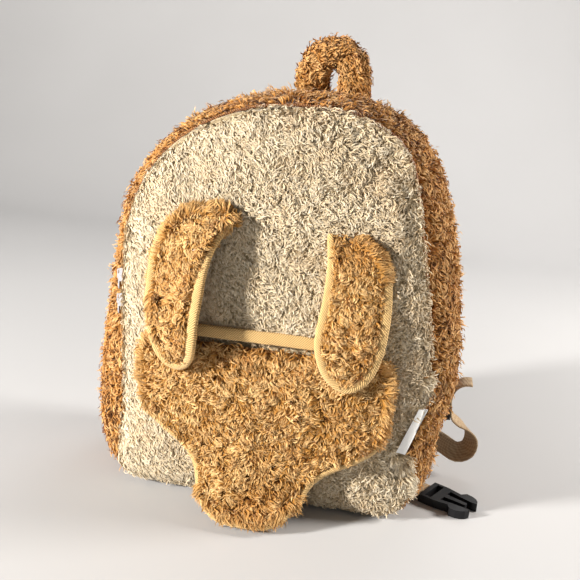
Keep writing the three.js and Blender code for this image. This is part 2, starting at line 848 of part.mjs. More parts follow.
// Grab loop
function handle() {
  const half = (handleSpan - handleWidth) / 2;
  const foot = panelHeight - handleWidth / 2;
  const crown = handleTop - handleWidth / 2;
  const point = (across, up) =>
    new THREE.Vector3(handlePlace + across * half, handleDepth, mix(foot, crown, up));
  const path = curveThrough([
    point(-handleFeet, 0),
    point(-1, 0.35),
    point(-1, 0.67),
    point(-0.92, 0.8),
    point(-0.71, 0.9),
    point(-0.38, 0.975),
    point(0, 1),
    point(0.38, 0.975),
    point(0.71, 0.9),
    point(0.92, 0.8),
    point(1, 0.67),
    point(1, 0.35),
    point(handleFeet, 0),
  ]).getSpacedPoints(22);
  const around = ellipse(handleWidth, handleThickness, 10);
  return cutByBag(
    sweep(
      path,
      () => new THREE.Vector3(0, 1, 0),
      () => around,
    ),
  );
}

// Shoulder straps, ladder locks and webbing

function strapPoint(row) {
  const x = row.across * panelHalfWidth;
  const z = row.up * panelHeight;
  const lie = backSeam + backBulge(x, z) + clearance + strapThickness / 2;
  return new THREE.Vector3(x, lie + row.bow * strapBow, z);
}

function strapFacing(row, mirror) {
  const angle = (row.turn * Math.PI) / 2;
  return new THREE.Vector3(mirror * Math.sin(angle), Math.cos(angle), 0);
}

function strapLine(rows, mirror) {
  const path = curveThrough(rows.map(strapPoint)).getSpacedPoints(20);
  const turns = curveThrough(rows.map((row) => new THREE.Vector3(row.up, row.turn, 0)));
  const table = turns.getPoints(60);
  const facings = path.map((point) => {
    const up = point.z / panelHeight;
    const near = table.reduce((a, b) => (Math.abs(b.x - up) < Math.abs(a.x - up) ? b : a));
    return strapFacing({ turn: Math.min(Math.max(near.y, 0), 1) }, mirror);
  });
  return { path, facings };
}

const strapLines = {
  right: strapLine(strapRows.right, 1),
  left: strapLine(strapRows.left, -1),
};

function shoulderStrap(line) {
  const steps = line.path.length - 1;
  return cutByBag(
    sweep(
      line.path,
      (i) => line.facings[i],
      (i) => {
        const share = i / steps;
        const width = mix(strapWidth, webbingWidth, smooth(strapTaper, 1, share));
        const thin = strapThin.end * smooth(0.85, 1, share) + strapThin.root * smooth(0.12, 0, share);
        return section(width, strapThickness * (1 - thin));
      },
    ),
  );
}

// Frame at the lower end of a strap: x across the webbing, y along it, z out of its face
function lockMatrix(line) {
  const end = line.path.at(-1);
  const along = end.clone().sub(line.path.at(-2)).normalize();
  const out = line.facings.at(-1).clone();
  out.addScaledVector(along, -out.dot(along)).normalize();
  const across = new THREE.Vector3().crossVectors(along, out);
  const place = end.clone().addScaledVector(along, lockFrame / 2 + clearance);
  return new THREE.Matrix4().makeBasis(across, along, out).setPosition(place);
}

function ladderLock(line) {
  const half = webbingWidth / 2 + clearance;
  const outer = half + lockFrame;
  const bars = [0, lockHeight * 0.55, lockHeight - lockFrame];
  const t = lockThickness / 2;
  let solid = solidOf(box([-outer, -lockFrame / 2, -t], [outer, lockHeight, t]));
  const spans = [
    [bars[0] + lockFrame / 2, bars[1] - lockFrame / 2],
    [bars[1] + lockFrame / 2, bars[2]],
  ];
  for (const [from, to] of spans) {
    solid = solid.subtract(solidOf(box([-half, from, -lockThickness], [half, to, lockThickness])));
  }
  return geometryOf(solid).applyMatrix4(lockMatrix(line));
}

// The right webbing: tail, run over the lock, and the slack loop back to the bag
function slackWebbing() {
  const matrix = lockMatrix(strapLines.right);
  const lift = lockThickness / 2 + clearance + webbingThickness / 2;
  const points = slackRows.map((row) =>
    new THREE.Vector3(0, row.down * lockHeight, lift + row.out * webbingLoop).applyMatrix4(matrix),
  );
  const steps = slackSteps;
  const path = curveThrough(points).getSpacedPoints(steps);
  const flat = section(webbingWidth, webbingThickness);
  const facing = (i) => {
    const along = path[Math.min(i + 1, steps)].clone().sub(path[Math.max(i - 1, 0)]).normalize();
    const inwards = new THREE.Vector3().crossVectors(new THREE.Vector3(0, 1, 0), along);
    const twist = webbingTwist * smooth(0.42, 0.62, i / steps);
    return inwards.addScaledVector(new THREE.Vector3(0, -1, 0), twist);
  };
  return cutByBag(sweep(path, facing, () => flat));
}

// The left webbing lies straight down the back to the bottom corner of the bag
function straightWebbing() {
  const matrix = lockMatrix(strapLines.left);
  const lift = lockThickness / 2 + clearance + webbingThickness / 2;
  const start = new THREE.Vector3(0, 0, lift).applyMatrix4(matrix);
  const hold = new THREE.Vector3(0, lockHeight * 1.1, lift).applyMatrix4(matrix);
  const end = new THREE.Vector3(start.x * 1.08, backSeam, webbingWidth * 0.6);
  const path = curveThrough([start, hold, hold.clone().lerp(end, 0.5), end]).getSpacedPoints(14);
  const flat = section(webbingWidth, webbingThickness);
  return cutByBag(
    sweep(
      path,
      () => new THREE.Vector3(0, 1, 0),
      () => flat,
    ),
  );
}

// Waist strap and buckle

const buckleLift = clearance;
const maleMatrix = new THREE.Matrix4()
  .makeRotationZ((buckleTurnDegrees * Math.PI) / 180)
  .setPosition(panelHalfWidth + 0.36 * buckleWidth, -0.12 * bagDepth, buckleLift);
const femalePlace = new THREE.Vector3(
  -0.5 * panelHalfWidth,
  backSeam + backCrown + 0.42 * buckleWidth,
  buckleLift,
);
const femaleMatrix = new THREE.Matrix4().makeTranslation(femalePlace);

// Plan of the buckle half with two springy side arms and a guide
function malePlan() {
  const half = buckleWidth / 2;
  const base = buckleLength * buckleArms;
  const waist = half * buckleWaist;
  const arm = buckleWidth * 0.15;
  const gap = base + 1;
  const side = [
    [base * 0.8, waist],
    [buckleLength * 0.6, half * 0.72],
    [buckleLength * 0.68, half],
  ];
  const plan = new THREE.Shape();
  plan.moveTo(0, -waist);
  side.forEach(([x, y]) => plan.lineTo(x, -y));
  plan.quadraticCurveTo(buckleLength * 0.95, -half, buckleLength, -half * 0.42);
  plan.lineTo(buckleLength * 0.9, -half * 0.38);
  plan.quadraticCurveTo(buckleLength * 0.7, -half * 0.4, gap, arm - waist);
  plan.lineTo(gap, -arm * 0.55);
  plan.lineTo(buckleLength * 0.85, -arm * 0.4);
  plan.lineTo(buckleLength * 0.85, arm * 0.4);
  plan.lineTo(gap, arm * 0.55);
  plan.lineTo(gap, waist - arm);
  plan.quadraticCurveTo(buckleLength * 0.7, half * 0.4, buckleLength * 0.9, half * 0.38);
  plan.lineTo(buckleLength, half * 0.42);
  plan.quadraticCurveTo(buckleLength * 0.95, half, buckleLength * 0.68, half);
  side.toReversed().forEach(([x, y]) => plan.lineTo(x, y));
  plan.lineTo(0, waist);
  plan.closePath();
  const slot = new THREE.Path();
  const reach = webbingWidth / 2 + clearance;
  slot.setFromPoints([
    new THREE.Vector2(base * 0.25, -reach),
    new THREE.Vector2(base * 0.25, reach),
    new THREE.Vector2(base * 0.6, reach),
    new THREE.Vector2(base * 0.6, -reach),
  ]);
  plan.holes.push(slot);
  return plan;
}

function buckleMale() {
  const geometry = new THREE.ExtrudeGeometry(malePlan(), {
    depth: buckleThickness,
    bevelEnabled: false,
    curveSegments: 4,
  });
  return closedGeometryOf(geometry.applyMatrix4(maleMatrix));
}

function buckleFemale() {
  const half = buckleWidth / 2;
  const length = buckleLength * 0.85;
  const wall = buckleWall;
  const mouth = length * 0.35;
  const height = buckleThickness + 2 * wall;
  let solid = solidOf(box([0, -half, 0], [length, half, height]));
  const pocket = box([mouth, wall - half, wall], [length + 1, half - wall, height - wall]);
  const windows = box([length * 0.5, -half - 1, wall], [length * 0.8, half + 1, height - wall]);
  const reach = webbingWidth / 2 + clearance;
  const slot = box([2 * wall, -reach, -1], [mouth - 2 * wall, reach, height + 1]);
  for (const cut of [pocket, windows, slot]) solid = solid.subtract(solidOf(cut));
  return geometryOf(solid).applyMatrix4(femaleMatrix);
}

// Webbing from the bag's lower edge to a buckle half
function waistWebbing(points) {
  const path = curveThrough(points).getSpacedPoints(8);
  const flat = section(webbingWidth, webbingThickness);
  return cutByBag(
    sweep(
      path,
      () => new THREE.Vector3(0, 0, 1),
      () => flat,
    ),
  );
}

const webbingLift = buckleThickness / 2 + buckleLift;

function rightWaistWebbing() {
  const end = new THREE.Vector3(-clearance, 0, webbingLift).applyMatrix4(maleMatrix);
  const turn = new THREE.Vector3(-waistRun / 2, 0, webbingLift).applyMatrix4(maleMatrix);
  const root = new THREE.Vector3(-waistRun, 1, webbingLift).applyMatrix4(maleMatrix);
  return waistWebbing([root, turn, end]);
}

function leftWaistWebbing() {
  const end = femalePlace.clone().add(new THREE.Vector3(-clearance, 0, webbingLift));
  const straight = end.clone().add(new THREE.Vector3(-0.25 * buckleWidth, 0, 0));
  const turn = end.clone().add(new THREE.Vector3(-0.24 * panelHalfWidth, 0, 0));
  const root = new THREE.Vector3(-0.94 * panelHalfWidth, 0.42 * bagDepth, webbingLift);
  return waistWebbing([root, turn, straight, end]);
}

// Blank label sewn in the right front seam, bent over the front panel's edge
function label() {
  const [lower, upper] = [labelEnds.lower, labelEnds.upper].map((end) => outlinePoint(end.across, end.height));
  const along = upper.clone().sub(lower).normalize();
  const inwards = new THREE.Vector3(-along.z, 0, along.x);
  const shares = Array.from({ length: labelSteps + 1 }, (_, i) => i / labelSteps);
  const place = (reach, share, lift) => {
    const point = lower.clone().lerp(upper, share).addScaledVector(inwards, reach * labelReach);
    return point.setY(frontSeam - frontBulge(point.x, point.z) - 2 * clearance - lift);
  };
  const rows = shares.map((reach) => [
    ...shares.map((share) => place(reach, share, labelThickness)),
    ...shares.toReversed().map((share) => place(reach, share, 0)),
  ]);
  return cutByBag(loft(rows));
}

// Materials

function finish(colour, roughness, metalness = 0) {
  return new THREE.MeshStandardMaterial({ color: colour, roughness, metalness });
}

const materials = {
  creamPlush: finish(0xc9ad78, 0.95),
  caramelPlush: finish(0xb4722f, 0.95),
  twill: finish(0xc0853c, 0.85),
  plainCloth: finish(0xa96b33, 0.9),
  zipTape: finish(0xc8743f, 0.8),
  metal: finish(0xbfc0c4, 0.3, 1),
  webbing: finish(0x9a7a55, 0.85),
  plastic: finish(0x0c0c0e, 0.4),
  label: finish(0xf0eeea, 0.6),
};

// Assembly

const backpack = new THREE.Group();

function add(name, geometry, material) {
  const mesh = new THREE.Mesh(geometry, material);
  mesh.name = name;
  backpack.add(mesh);
}

add("front_panel", panel(frontBulge, plush, frontSeam, -1), materials.creamPlush);
add("gusset", gusset(), materials.caramelPlush);
add("back_panel", panel(backBulge, backing, backSeam, 1), materials.plainCloth);
add("zip_tape", zipTape(), materials.zipTape);
add("zip_coil", zipCoil(), materials.zipTape);
for (const [name, height] of [
  ["upper", upperSliderHeight],
  ["lower", lowerSliderHeight],
]) {
  add(`zip_slider_${name}`, slider(height), materials.metal);
  add(`zip_pull_${name}`, pull(height), materials.metal);
}
add("flap", flapBody(), materials.caramelPlush);
add("flap_mouth_binding", flapMouthBinding(), materials.twill);
add("flap_hem_binding", flapHem(), materials.twill);
for (const ear of ears) {
  add(ear.name, earBody(ear), materials.caramelPlush);
  add(`${ear.name}_binding`, earBound(ear), materials.twill);
}
add("handle", handle(), materials.caramelPlush);
for (const side of ["left", "right"]) {
  add(`shoulder_strap_${side}`, shoulderStrap(strapLines[side]), materials.plainCloth);
  add(`ladder_lock_${side}`, ladderLock(strapLines[side]), materials.plastic);
}
add("strap_webbing_right", slackWebbing(), materials.webbing);
add("strap_webbing_left", straightWebbing(), materials.webbing);
add("waist_webbing_right", rightWaistWebbing(), materials.webbing);
add("waist_webbing_left", leftWaistWebbing(), materials.webbing);
add("buckle_male", buckleMale(), materials.plastic);
add("buckle_female", buckleFemale(), materials.plastic);
add("label", label(), materials.label);

export default backpack;
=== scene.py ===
"""Looks of a plush kids backpack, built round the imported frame. Metres, +X right, +Y back, +Z up."""

import heapq
import math

import bmesh
import bpy
import numpy as np
from mathutils import Matrix, Vector
from mathutils.bvhtree import BVHTree
from mathutils.kdtree import KDTree


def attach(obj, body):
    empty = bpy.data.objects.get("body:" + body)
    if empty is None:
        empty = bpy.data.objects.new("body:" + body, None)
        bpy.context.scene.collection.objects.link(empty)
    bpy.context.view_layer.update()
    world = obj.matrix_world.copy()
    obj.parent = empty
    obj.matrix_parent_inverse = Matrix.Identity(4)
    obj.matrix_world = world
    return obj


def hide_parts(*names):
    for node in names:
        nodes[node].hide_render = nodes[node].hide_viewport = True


MM = 0.001

# Camera of the photograph
AZIMUTH = 9  # degrees
ELEVATION = 15
ROLL = -4.5
TARGET = Vector((4 * MM, 0, 150 * MM))
DISTANCE = 625 * MM
LENS = 50  # on a 36 mm sensor

# Bag
FLOOR = 0.3 * MM  # nothing of the bag goes below this
MIDDLE = np.array([0, 0, 135 * MM])  # about the middle of the bag's outline
FRONT_SEAM = -50 * MM
PANEL_HALF_WIDTH = 110 * MM
PANEL_HEIGHT = 290 * MM
FLAP_HALF_WIDTH = 93 * MM
FLAP_MOUTH = 137 * MM  # height of its upper edge
EAR_LENGTH = 114 * MM
EAR_HALF_WIDTH = 27 * MM
EAR_TIP = 104 * MM  # height of an ear's tip
EARS = {"left": (-60 * MM, -1), "right": (62 * MM, 1)}  # middle, and the way to its outer edge

# CAD nodes that show as they are
METAL_NODES = ("zip_slider_upper", "zip_slider_lower", "zip_pull_upper", "zip_pull_lower")
PLASTIC_NODES = ("ladder_lock_left", "ladder_lock_right", "buckle_male", "buckle_female")

# Pile, in millimetres. sink is how far the knitted ground lies below the CAD surface, lock the size of a lock
# of strands, stray the share of strands that stand up, depth how much painted shade darkens the deep strands,
# and clump how far a lock draws together.
PILE_COLUMNS = ("sink", "length", "width", "height", "curl", "stray", "lock", "depth", "clump")
PILE_ROWS = {
    "cream": (2.9, 6.2, 0.78, 3.1, 1.25, 0.07, 4.5, 0.34, 0.4),
    "cream_down": (2.9, 5.0, 0.8, 2.2, 1.0, 0.0, 4.0, 0.26, 0.2),
    "flap": (3.0, 7.4, 0.95, 3.6, 1.5, 0.09, 5.5, 0.85, 0.55),
    "gusset": (3.0, 8.4, 1.05, 4.2, 1.5, 0.2, 5.5, 0.8, 0.5),
    "ear": (2.5, 6.6, 0.9, 3.1, 1.3, 0.07, 5.0, 0.85, 0.55),
    "handle": (2.8, 7.4, 1.0, 4.0, 1.3, 0.25, 5.0, 0.7, 0.5),
    "fringe": (2.5, 12.0, 0.95, 4.8, 1.4, 0.05, 4.5, 0.4, 0.5),
    "edge": (2.5, 4.8, 0.9, 4.2, 1.1, 0.1, 4.0, 0.6, 0.4),
}
PILES = {kind: dict(zip(PILE_COLUMNS, row)) for kind, row in PILE_ROWS.items()}
RISEN = 0.42  # share of a strand's length at which it is highest
STRAND_ROWS = np.array([0.0, 0.2, 0.45, 0.72, 1.0])
STRAND_WIDTHS = np.array([0.0, 0.95, 1.0, 0.8, 0.0])

# Padding
PRESSURE = 3.0  # of the cloth simulation
SIMULATED_FRAMES = 20
PLUSH_LEVELS = 2  # of subdivision

# Threads of the bindings
STITCH = 1.7 * MM
STITCH_GAP = 1.0 * MM
REACH = 20 * MM  # of the rays that lay them on the tape

# Colours, linear. In CREAM, CARAMEL and GINGER, root is painted shade deep in the pile, also used on the
# knitted ground, and tip is painted light on the strands' ends, with middle between them; patch is a real
# tint and tones a random spread of brightness.
CREAM = {
    "root": (0.33, 0.25, 0.135),
    "middle": (0.63, 0.5, 0.32),
    "tip": (0.88, 0.82, 0.68),
    "patch": (0.62, 0.42, 0.22),
    "tones": (0.83, 1.12),
}
CARAMEL = {
    "root": (0.1, 0.026, 0.001),
    "middle": (0.42, 0.19, 0.03),
    "tip": (0.82, 0.55, 0.25),
    "patch": (0.42, 0.16, 0.022),
    "tones": (0.71, 1.2),
}
GINGER = {
    "root": (0.09, 0.022, 0.001),
    "middle": (0.4, 0.165, 0.025),
    "tip": (0.78, 0.48, 0.2),
    "patch": (0.4, 0.14, 0.018),
    "tones": (0.71, 1.2),
}
TWILL = ((0.44, 0.25, 0.085), (0.82, 0.56, 0.24))
CLOTH = ((0.24, 0.11, 0.035), (0.36, 0.18, 0.06))
TAPE = ((0.4, 0.15, 0.05), (0.62, 0.29, 0.12))
COIL = ((0.3, 0.13, 0.05), (0.46, 0.22, 0.1))
WEBBING = ((0.27, 0.18, 0.1), (0.52, 0.38, 0.23))
METAL = (0.75, 0.75, 0.77)
PLASTIC = (0.003, 0.003, 0.004)
LABEL = (0.86, 0.86, 0.84)
FLOOR_COLOUR = (0.52, 0.52, 0.53)

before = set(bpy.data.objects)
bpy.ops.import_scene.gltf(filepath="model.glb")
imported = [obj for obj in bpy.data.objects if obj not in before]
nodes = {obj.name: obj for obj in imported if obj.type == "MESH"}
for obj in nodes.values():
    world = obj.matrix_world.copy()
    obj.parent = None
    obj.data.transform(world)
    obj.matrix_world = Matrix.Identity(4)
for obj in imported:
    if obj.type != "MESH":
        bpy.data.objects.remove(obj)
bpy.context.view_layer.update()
scene = bpy.context.scene
label_corners = np.array([nodes["label"].matrix_world @ v.co for v in nodes["label"].data.vertices])
label_low, label_high = label_corners.min(0), label_corners.max(0)


# Camera, light and floor


def make_camera():
    azimuth, elevation, roll = (math.radians(a) for a in (AZIMUTH, ELEVATION, ROLL))
    back = Vector(
        (
            math.sin(azimuth) * math.cos(elevation),
            -math.cos(azimuth) * math.cos(elevation),
            math.sin(elevation),
        )
    )
    level = Vector((math.cos(azimuth), math.sin(azimuth), 0))
    upright = back.cross(level)
    right = math.cos(roll) * level - math.sin(roll) * upright
    up = math.sin(roll) * level + math.cos(roll) * upright
    camera = bpy.data.objects.new("camera", bpy.data.cameras.new("camera"))
    camera.data.lens = LENS
    camera.data.sensor_width = 36
    place = Matrix.Translation(TARGET + DISTANCE * back)
    camera.matrix_world = place @ Matrix((right, up, back)).transposed().to_4x4()
    scene.collection.objects.link(camera)
    scene.camera = camera


def area_light(name, place, size, power, colour=(1, 1, 1)):
    lamp = bpy.data.lights.new(name, "AREA")
    lamp.shape = "DISK"
    lamp.size = size
    lamp.energy = power
    lamp.color = colour
    obj = bpy.data.objects.new(name, lamp)
    obj.location = place
    obj.rotation_euler = (Vector((0, 0, 0.14)) - Vector(place)).to_track_quat("-Z", "Y").to_euler()
    scene.collection.objects.link(obj)


def make_studio():
    area_light("key", (-1.3, -0.9, 0.6), 0.2, 62, (1, 0.965, 0.91))
    area_light("fill", (0.6, -1.5, 0.6), 1.4, 1.2, (0.95, 0.97, 1))
    area_light("rear", (0.3, 1.1, 1.1), 0.9, 5)
    area_light("rim", (1.25, 0.3, 0.7), 0.4, 26, (1, 0.95, 0.88))
    world = bpy.data.worlds.new("studio")
    world.use_nodes = True
    world.node_tree.nodes["Background"].inputs["Color"].default_value = (0.9, 0.86, 0.8, 1)
    world.node_tree.nodes["Background"].inputs["Strength"].default_value = 0.13
    scene.world = world
    scene.view_settings.view_transform = "Standard"
    half = 4.0  # metres
    wall = 1.5
    bend = 0.6
    turns = np.linspace(0, math.pi / 2, 24)
    profile = [(-half, 0.0)]
    profile += [(wall - bend + bend * math.sin(a), bend - bend * math.cos(a)) for a in turns]
    profile += [(wall, half)]
    mesh = bpy.data.meshes.new("floor")
    mesh.from_pydata(
        [(x, y, z) for y, z in profile for x in (-half, half)],
        [],
        [(2 * i, 2 * i + 1, 2 * i + 3, 2 * i + 2) for i in range(len(profile) - 1)],
    )
    mesh.shade_smooth()
    floor = bpy.data.objects.new("floor", mesh)
    scene.collection.objects.link(floor)
    material, tree, shader = new_material("floor_surface")
    colour_by_noise(tree, shader, (FLOOR_COLOUR, tuple(c * 0.97 for c in FLOOR_COLOUR)), 3)
    shader.inputs["Roughness"].default_value = 0.7
    mesh.materials.append(material)


# Materials


def new_material(name):
    material = bpy.data.materials.new(name)
    material.use_nodes = True
    tree = material.node_tree
    return material, tree, tree.nodes["Principled BSDF"]


def node(tree, kind, **inputs):
    made = tree.nodes.new(kind)
    for key, value in inputs.items():
        socket = made.inputs[int(key[1:])] if key[0] == "i" and key[1:].isdigit() else made.inputs[key]
        if hasattr(value, "links"):
            tree.links.new(value, socket)
        else:
            socket.default_value = value
    return made


def ramp(tree, factor, stops):
    made = tree.nodes.new("ShaderNodeValToRGB")
    elements = made.color_ramp.elements
    while len(elements) < len(stops):
        elements.new(0.5)
    for element, (place, colour) in zip(elements, stops):
        element.position = place
        element.color = (*colour, 1)
    tree.links.new(factor, made.inputs["Fac"])
    return made.outputs["Color"]


def maths(tree, operation, *values):
    made = tree.nodes.new("ShaderNodeMath")
    made.operation = operation
    for socket, value in zip(made.inputs, values):
        if hasattr(value, "links"):
            tree.links.new(value, socket)
        else:
            socket.default_value = value
    return made.outputs[0]


def mixed(tree, factor, a, b, blend="MIX"):
    made = tree.nodes.new("ShaderNodeMix")
    made.data_type = "RGBA"
    made.blend_type = blend
    for socket, value in zip((made.inputs[0], made.inputs[6], made.inputs[7]), (factor, a, b)):
        if hasattr(value, "links"):
            tree.links.new(value, socket)
        else:
            socket.default_value = value if isinstance(value, (int, float)) else (*value, 1)
    return made.outputs[2]


def attribute(tree, name):
    made = tree.nodes.new("ShaderNodeAttribute")
    made.attribute_name = name
    return made


def place_of(tree):
    return tree.nodes.new("ShaderNodeTexCoord").outputs["Object"]


def noise(tree, vector, scale, detail=2.0):
    return node(tree, "ShaderNodeTexNoise", Vector=vector, Scale=scale, Detail=detail).outputs["Fac"]


def bump(tree, shader, height, strength, distance):
    made = node(tree, "ShaderNodeBump", Height=height, Strength=strength, Distance=distance)
    tree.links.new(made.outputs["Normal"], shader.inputs["Normal"])


def colour_by_noise(tree, shader, colours, scale):
    factor = noise(tree, place_of(tree), scale)
    colour = ramp(tree, factor, [(0.35, colours[0]), (0.65, colours[1])])
    tree.links.new(colour, shader.inputs["Base Color"])


def soft(shader, roughness=0.85, sheen=0.25):
    shader.inputs["Roughness"].default_value = roughness
    shader.inputs["Sheen Weight"].default_value = sheen
    shader.inputs["Sheen Roughness"].default_value = 0.5
    shader.inputs["Specular IOR Level"].default_value = 0.2


def pile_material(name, colours):
    """Strands: painted shade dark at the root and on the deep strands, painted light at the tip, each a
    little lighter or darker at random, in soft patches of tint.
    """
    material, tree, shader = new_material(name)
    shade = attribute(tree, "shade").outputs["Fac"]
    tone = attribute(tree, "tone").outputs["Fac"]
    along = ramp(tree, shade, [(0.0, colours["root"]), (0.5, colours["middle"]), (1.0, colours["tip"])])
    patches = noise(tree, place_of(tree), 34, 3)
    above = maths(tree, "SMOOTH_MAX", maths(tree, "SUBTRACT", patches, 0.5), 0.0, 0.05)
    patch = maths(tree, "MULTIPLY", above, 1.9)
    tinted = mixed(tree, patch, along, colours["patch"])
    dull, light = ((value,) * 3 for value in colours["tones"])
    bright = ramp(tree, tone, [(0.0, dull), (1.0, light)])
    tree.links.new(mixed(tree, 1.0, tinted, bright, "MULTIPLY"), shader.inputs["Base Color"])
    soft(shader)
    return material


def backing_material(name, colours):
    """The knitted ground that the strands grow from, coloured between the strands' root and middle colours:
    painted shade in the gaps between strands.
    """
    material, tree, shader = new_material(name)
    fine = noise(tree, place_of(tree), 900, 3)
    colour = ramp(tree, fine, [(0.3, colours["root"]), (0.75, colours["middle"])])
    tree.links.new(colour, shader.inputs["Base Color"])
    bump(tree, shader, fine, 0.8, 1.2 * MM)
    soft(shader, 0.95)
    return material


def lines(tree, value, pitch):
    """A soft wave from 0 to 1 over a length in metres."""
    turned = maths(tree, "MULTIPLY", value, 2 * math.pi / pitch)
    return maths(tree, "MULTIPLY_ADD", maths(tree, "SINE", turned), 0.5, 0.5)


def twill_material(name, colours, pitch=1.7 * MM, slant=1.0):
    """Tape with fine diagonal ribs. Its length and width come from the attribute "tape"."""
    material, tree, shader = new_material(name)
    parts = node(tree, "ShaderNodeSeparateXYZ", Vector=attribute(tree, "tape").outputs["Vector"])
    diagonal = maths(tree, "MULTIPLY_ADD", parts.outputs["Y"], slant, parts.outputs["X"])
    ribs = lines(tree, diagonal, pitch)
    slanted = maths(tree, "MULTIPLY_ADD", parts.outputs["X"], -0.6, parts.outputs["Y"])
    cross = lines(tree, slanted, pitch * 0.55)
    weave = maths(tree, "MULTIPLY_ADD", cross, 0.25, maths(tree, "MULTIPLY", ribs, 0.75))
    wear = noise(tree, place_of(tree), 60, 3)
    factor = maths(tree, "MULTIPLY_ADD", wear, 0.3, maths(tree, "MULTIPLY", weave, 0.7))
    tree.links.new(ramp(tree, factor, [(0.15, colours[0]), (0.7, colours[1])]), shader.inputs["Base Color"])
    bump(tree, shader, weave, 1.0, 0.5 * MM)
    soft(shader, 0.75, 0.2)
    return material


def woven_material(name, colours, pitch):
    """Plain weave along the bag's width and height."""
    material, tree, shader = new_material(name)
    parts = node(tree, "ShaderNodeSeparateXYZ", Vector=place_of(tree))
    warp = lines(tree, parts.outputs["X"], pitch)
    weft = lines(tree, parts.outputs["Z"], pitch)
    over = maths(tree, "MAXIMUM", warp, weft)
    weave = maths(tree, "MULTIPLY", over, maths(tree, "MULTIPLY_ADD", warp, 0.5, 0.5))
    wear = noise(tree, place_of(tree), 45, 4)
    factor = maths(tree, "MULTIPLY_ADD", weave, 0.45, maths(tree, "MULTIPLY", wear, 0.55))
    tree.links.new(ramp(tree, factor, [(0.2, colours[0]), (0.75, colours[1])]), shader.inputs["Base Color"])
    bump(tree, shader, weave, 0.6, 0.3 * MM)
    soft(shader, 0.85, 0.15)
    return material


def webbing_material(name, colours):
    """Flat webbing: lengthwise cords with short cross ribs, from the attribute "tape"."""
    material, tree, shader = new_material(name)
    parts = node(tree, "ShaderNodeSeparateXYZ", Vector=attribute(tree, "tape").outputs["Vector"])
    cords = lines(tree, parts.outputs["Y"], 2.2 * MM)
    step = maths(tree, "MULTIPLY", maths(tree, "SIGN", maths(tree, "SUBTRACT", cords, 0.5)), 0.45 * MM)
    ribs = lines(tree, maths(tree, "ADD", parts.outputs["X"], step), 1.8 * MM)
    weave = maths(tree, "MULTIPLY_ADD", ribs, 0.6, maths(tree, "MULTIPLY", cords, 0.4))
    wear = noise(tree, place_of(tree), 80, 3)
    factor = maths(tree, "MULTIPLY_ADD", weave, 0.6, maths(tree, "MULTIPLY", wear, 0.4))
    tree.links.new(ramp(tree, factor, [(0.2, colours[0]), (0.75, colours[1])]), shader.inputs["Base Color"])
    bump(tree, shader, weave, 0.8, 0.4 * MM)
    soft(shader, 0.7, 0.1)
    return material


def metal_material(name):
    material, tree, shader = new_material(name)
    shader.inputs["Base Color"].default_value = (*METAL, 1)
    shader.inputs["Metallic"].default_value = 1
    worn = noise(tree, place_of(tree), 700, 4)
    rough = node(tree, "ShaderNodeMapRange", Value=worn)
    rough.inputs["To Min"].default_value = 0.14
    rough.inputs["To Max"].default_value = 0.34
    tree.links.new(rough.outputs["Result"], shader.inputs["Roughness"])
    bump(tree, shader, worn, 0.15, 0.1 * MM)
    return material


def plastic_material(name):
    material, tree, shader = new_material(name)
    grain = noise(tree, place_of(tree), 2500, 2)
    smears = noise(tree, place_of(tree), 90, 3)
    tree.links.new(
        ramp(tree, smears, [(0.3, PLASTIC), (0.8, tuple(c * 1.9 for c in PLASTIC))]),
        shader.inputs["Base Color"],
    )
    rough = node(tree, "ShaderNodeMapRange", Value=smears)
    rough.inputs["To Min"].default_value = 0.42
    rough.inputs["To Max"].default_value = 0.6
    tree.links.new(rough.outputs["Result"], shader.inputs["Roughness"])
    bump(tree, shader, grain, 0.25, 0.08 * MM)
    shader.inputs["Specular IOR Level"].default_value = 0.3
    return material


def label_material(name):
    material, tree, shader = new_material(name)
    parts = node(tree, "ShaderNodeSeparateXYZ", Vector=attribute(tree, "tape").outputs["Vector"])
    warp = lines(tree, parts.outputs["X"], 0.6 * MM)
    weft = lines(tree, parts.outputs["Y"], 0.6 * MM)
    threads = maths(tree, "MULTIPLY", warp, weft)
    tree.links.new(
        ramp(tree, threads, [(0.0, tuple(c * 0.93 for c in LABEL)), (1.0, LABEL)]),
        shader.inputs["Base Color"],
    )
    bump(tree, shader, threads, 0.4, 0.12 * MM)
    soft(shader, 0.45, 0.3)
    return material


# Meshes


def link(name, mesh):
    obj = bpy.data.objects.new(name, mesh)
    scene.collection.objects.link(obj)
    return obj


def triangle_mesh(name, points, triangles):
    mesh = bpy.data.meshes.new(name)
    mesh.vertices.add(len(points))
    mesh.vertices.foreach_set("co", np.asarray(points, np.float32).ravel())
    mesh.loops.add(len(triangles) * 3)
    mesh.loops.foreach_set("vertex_index", np.asarray(triangles, np.int32).ravel())
    mesh.polygons.add(len(triangles))
    mesh.polygons.foreach_set("loop_start", np.arange(len(triangles), dtype=np.int32) * 3)
    mesh.polygons.foreach_set("use_smooth", np.ones(len(triangles), bool))
    mesh.update(calc_edges=True)
    return mesh


def points_of(mesh):
    points = np.empty(len(mesh.vertices) * 3, np.float32)
    mesh.vertices.foreach_get("co", points)
    return points.reshape(-1, 3).astype(float)


def normals_of(mesh):
    normals = np.empty(len(mesh.vertices) * 3, np.float32)
    mesh.vertices.foreach_get("normal", normals)
    return normals.reshape(-1, 3).astype(float)


def triangles_of(mesh):
    mesh.calc_loop_triangles()
    triangles = np.empty(len(mesh.loop_triangles) * 3, np.int32)
    mesh.loop_triangles.foreach_get("vertices", triangles)
    return triangles.reshape(-1, 3)


def set_points(mesh, points):
    mesh.vertices.foreach_set("co", points.astype(np.float32).ravel())
    mesh.update()


def set_attribute(mesh, name, values):
    kind = "FLOAT_VECTOR" if values.ndim == 2 else "FLOAT"
    made = mesh.attributes.new(name, kind, "POINT")
    made.data.foreach_set("vector" if values.ndim == 2 else "value", values.astype(np.float32).ravel())


def unit(vectors):
    return vectors / np.maximum(np.linalg.norm(vectors, axis=-1, keepdims=True), 1e-12)


def smoothstep(low, high, values):
    share = np.clip((values - low) / (high - low), 0, 1)
    return share * share * (3 - 2 * share)


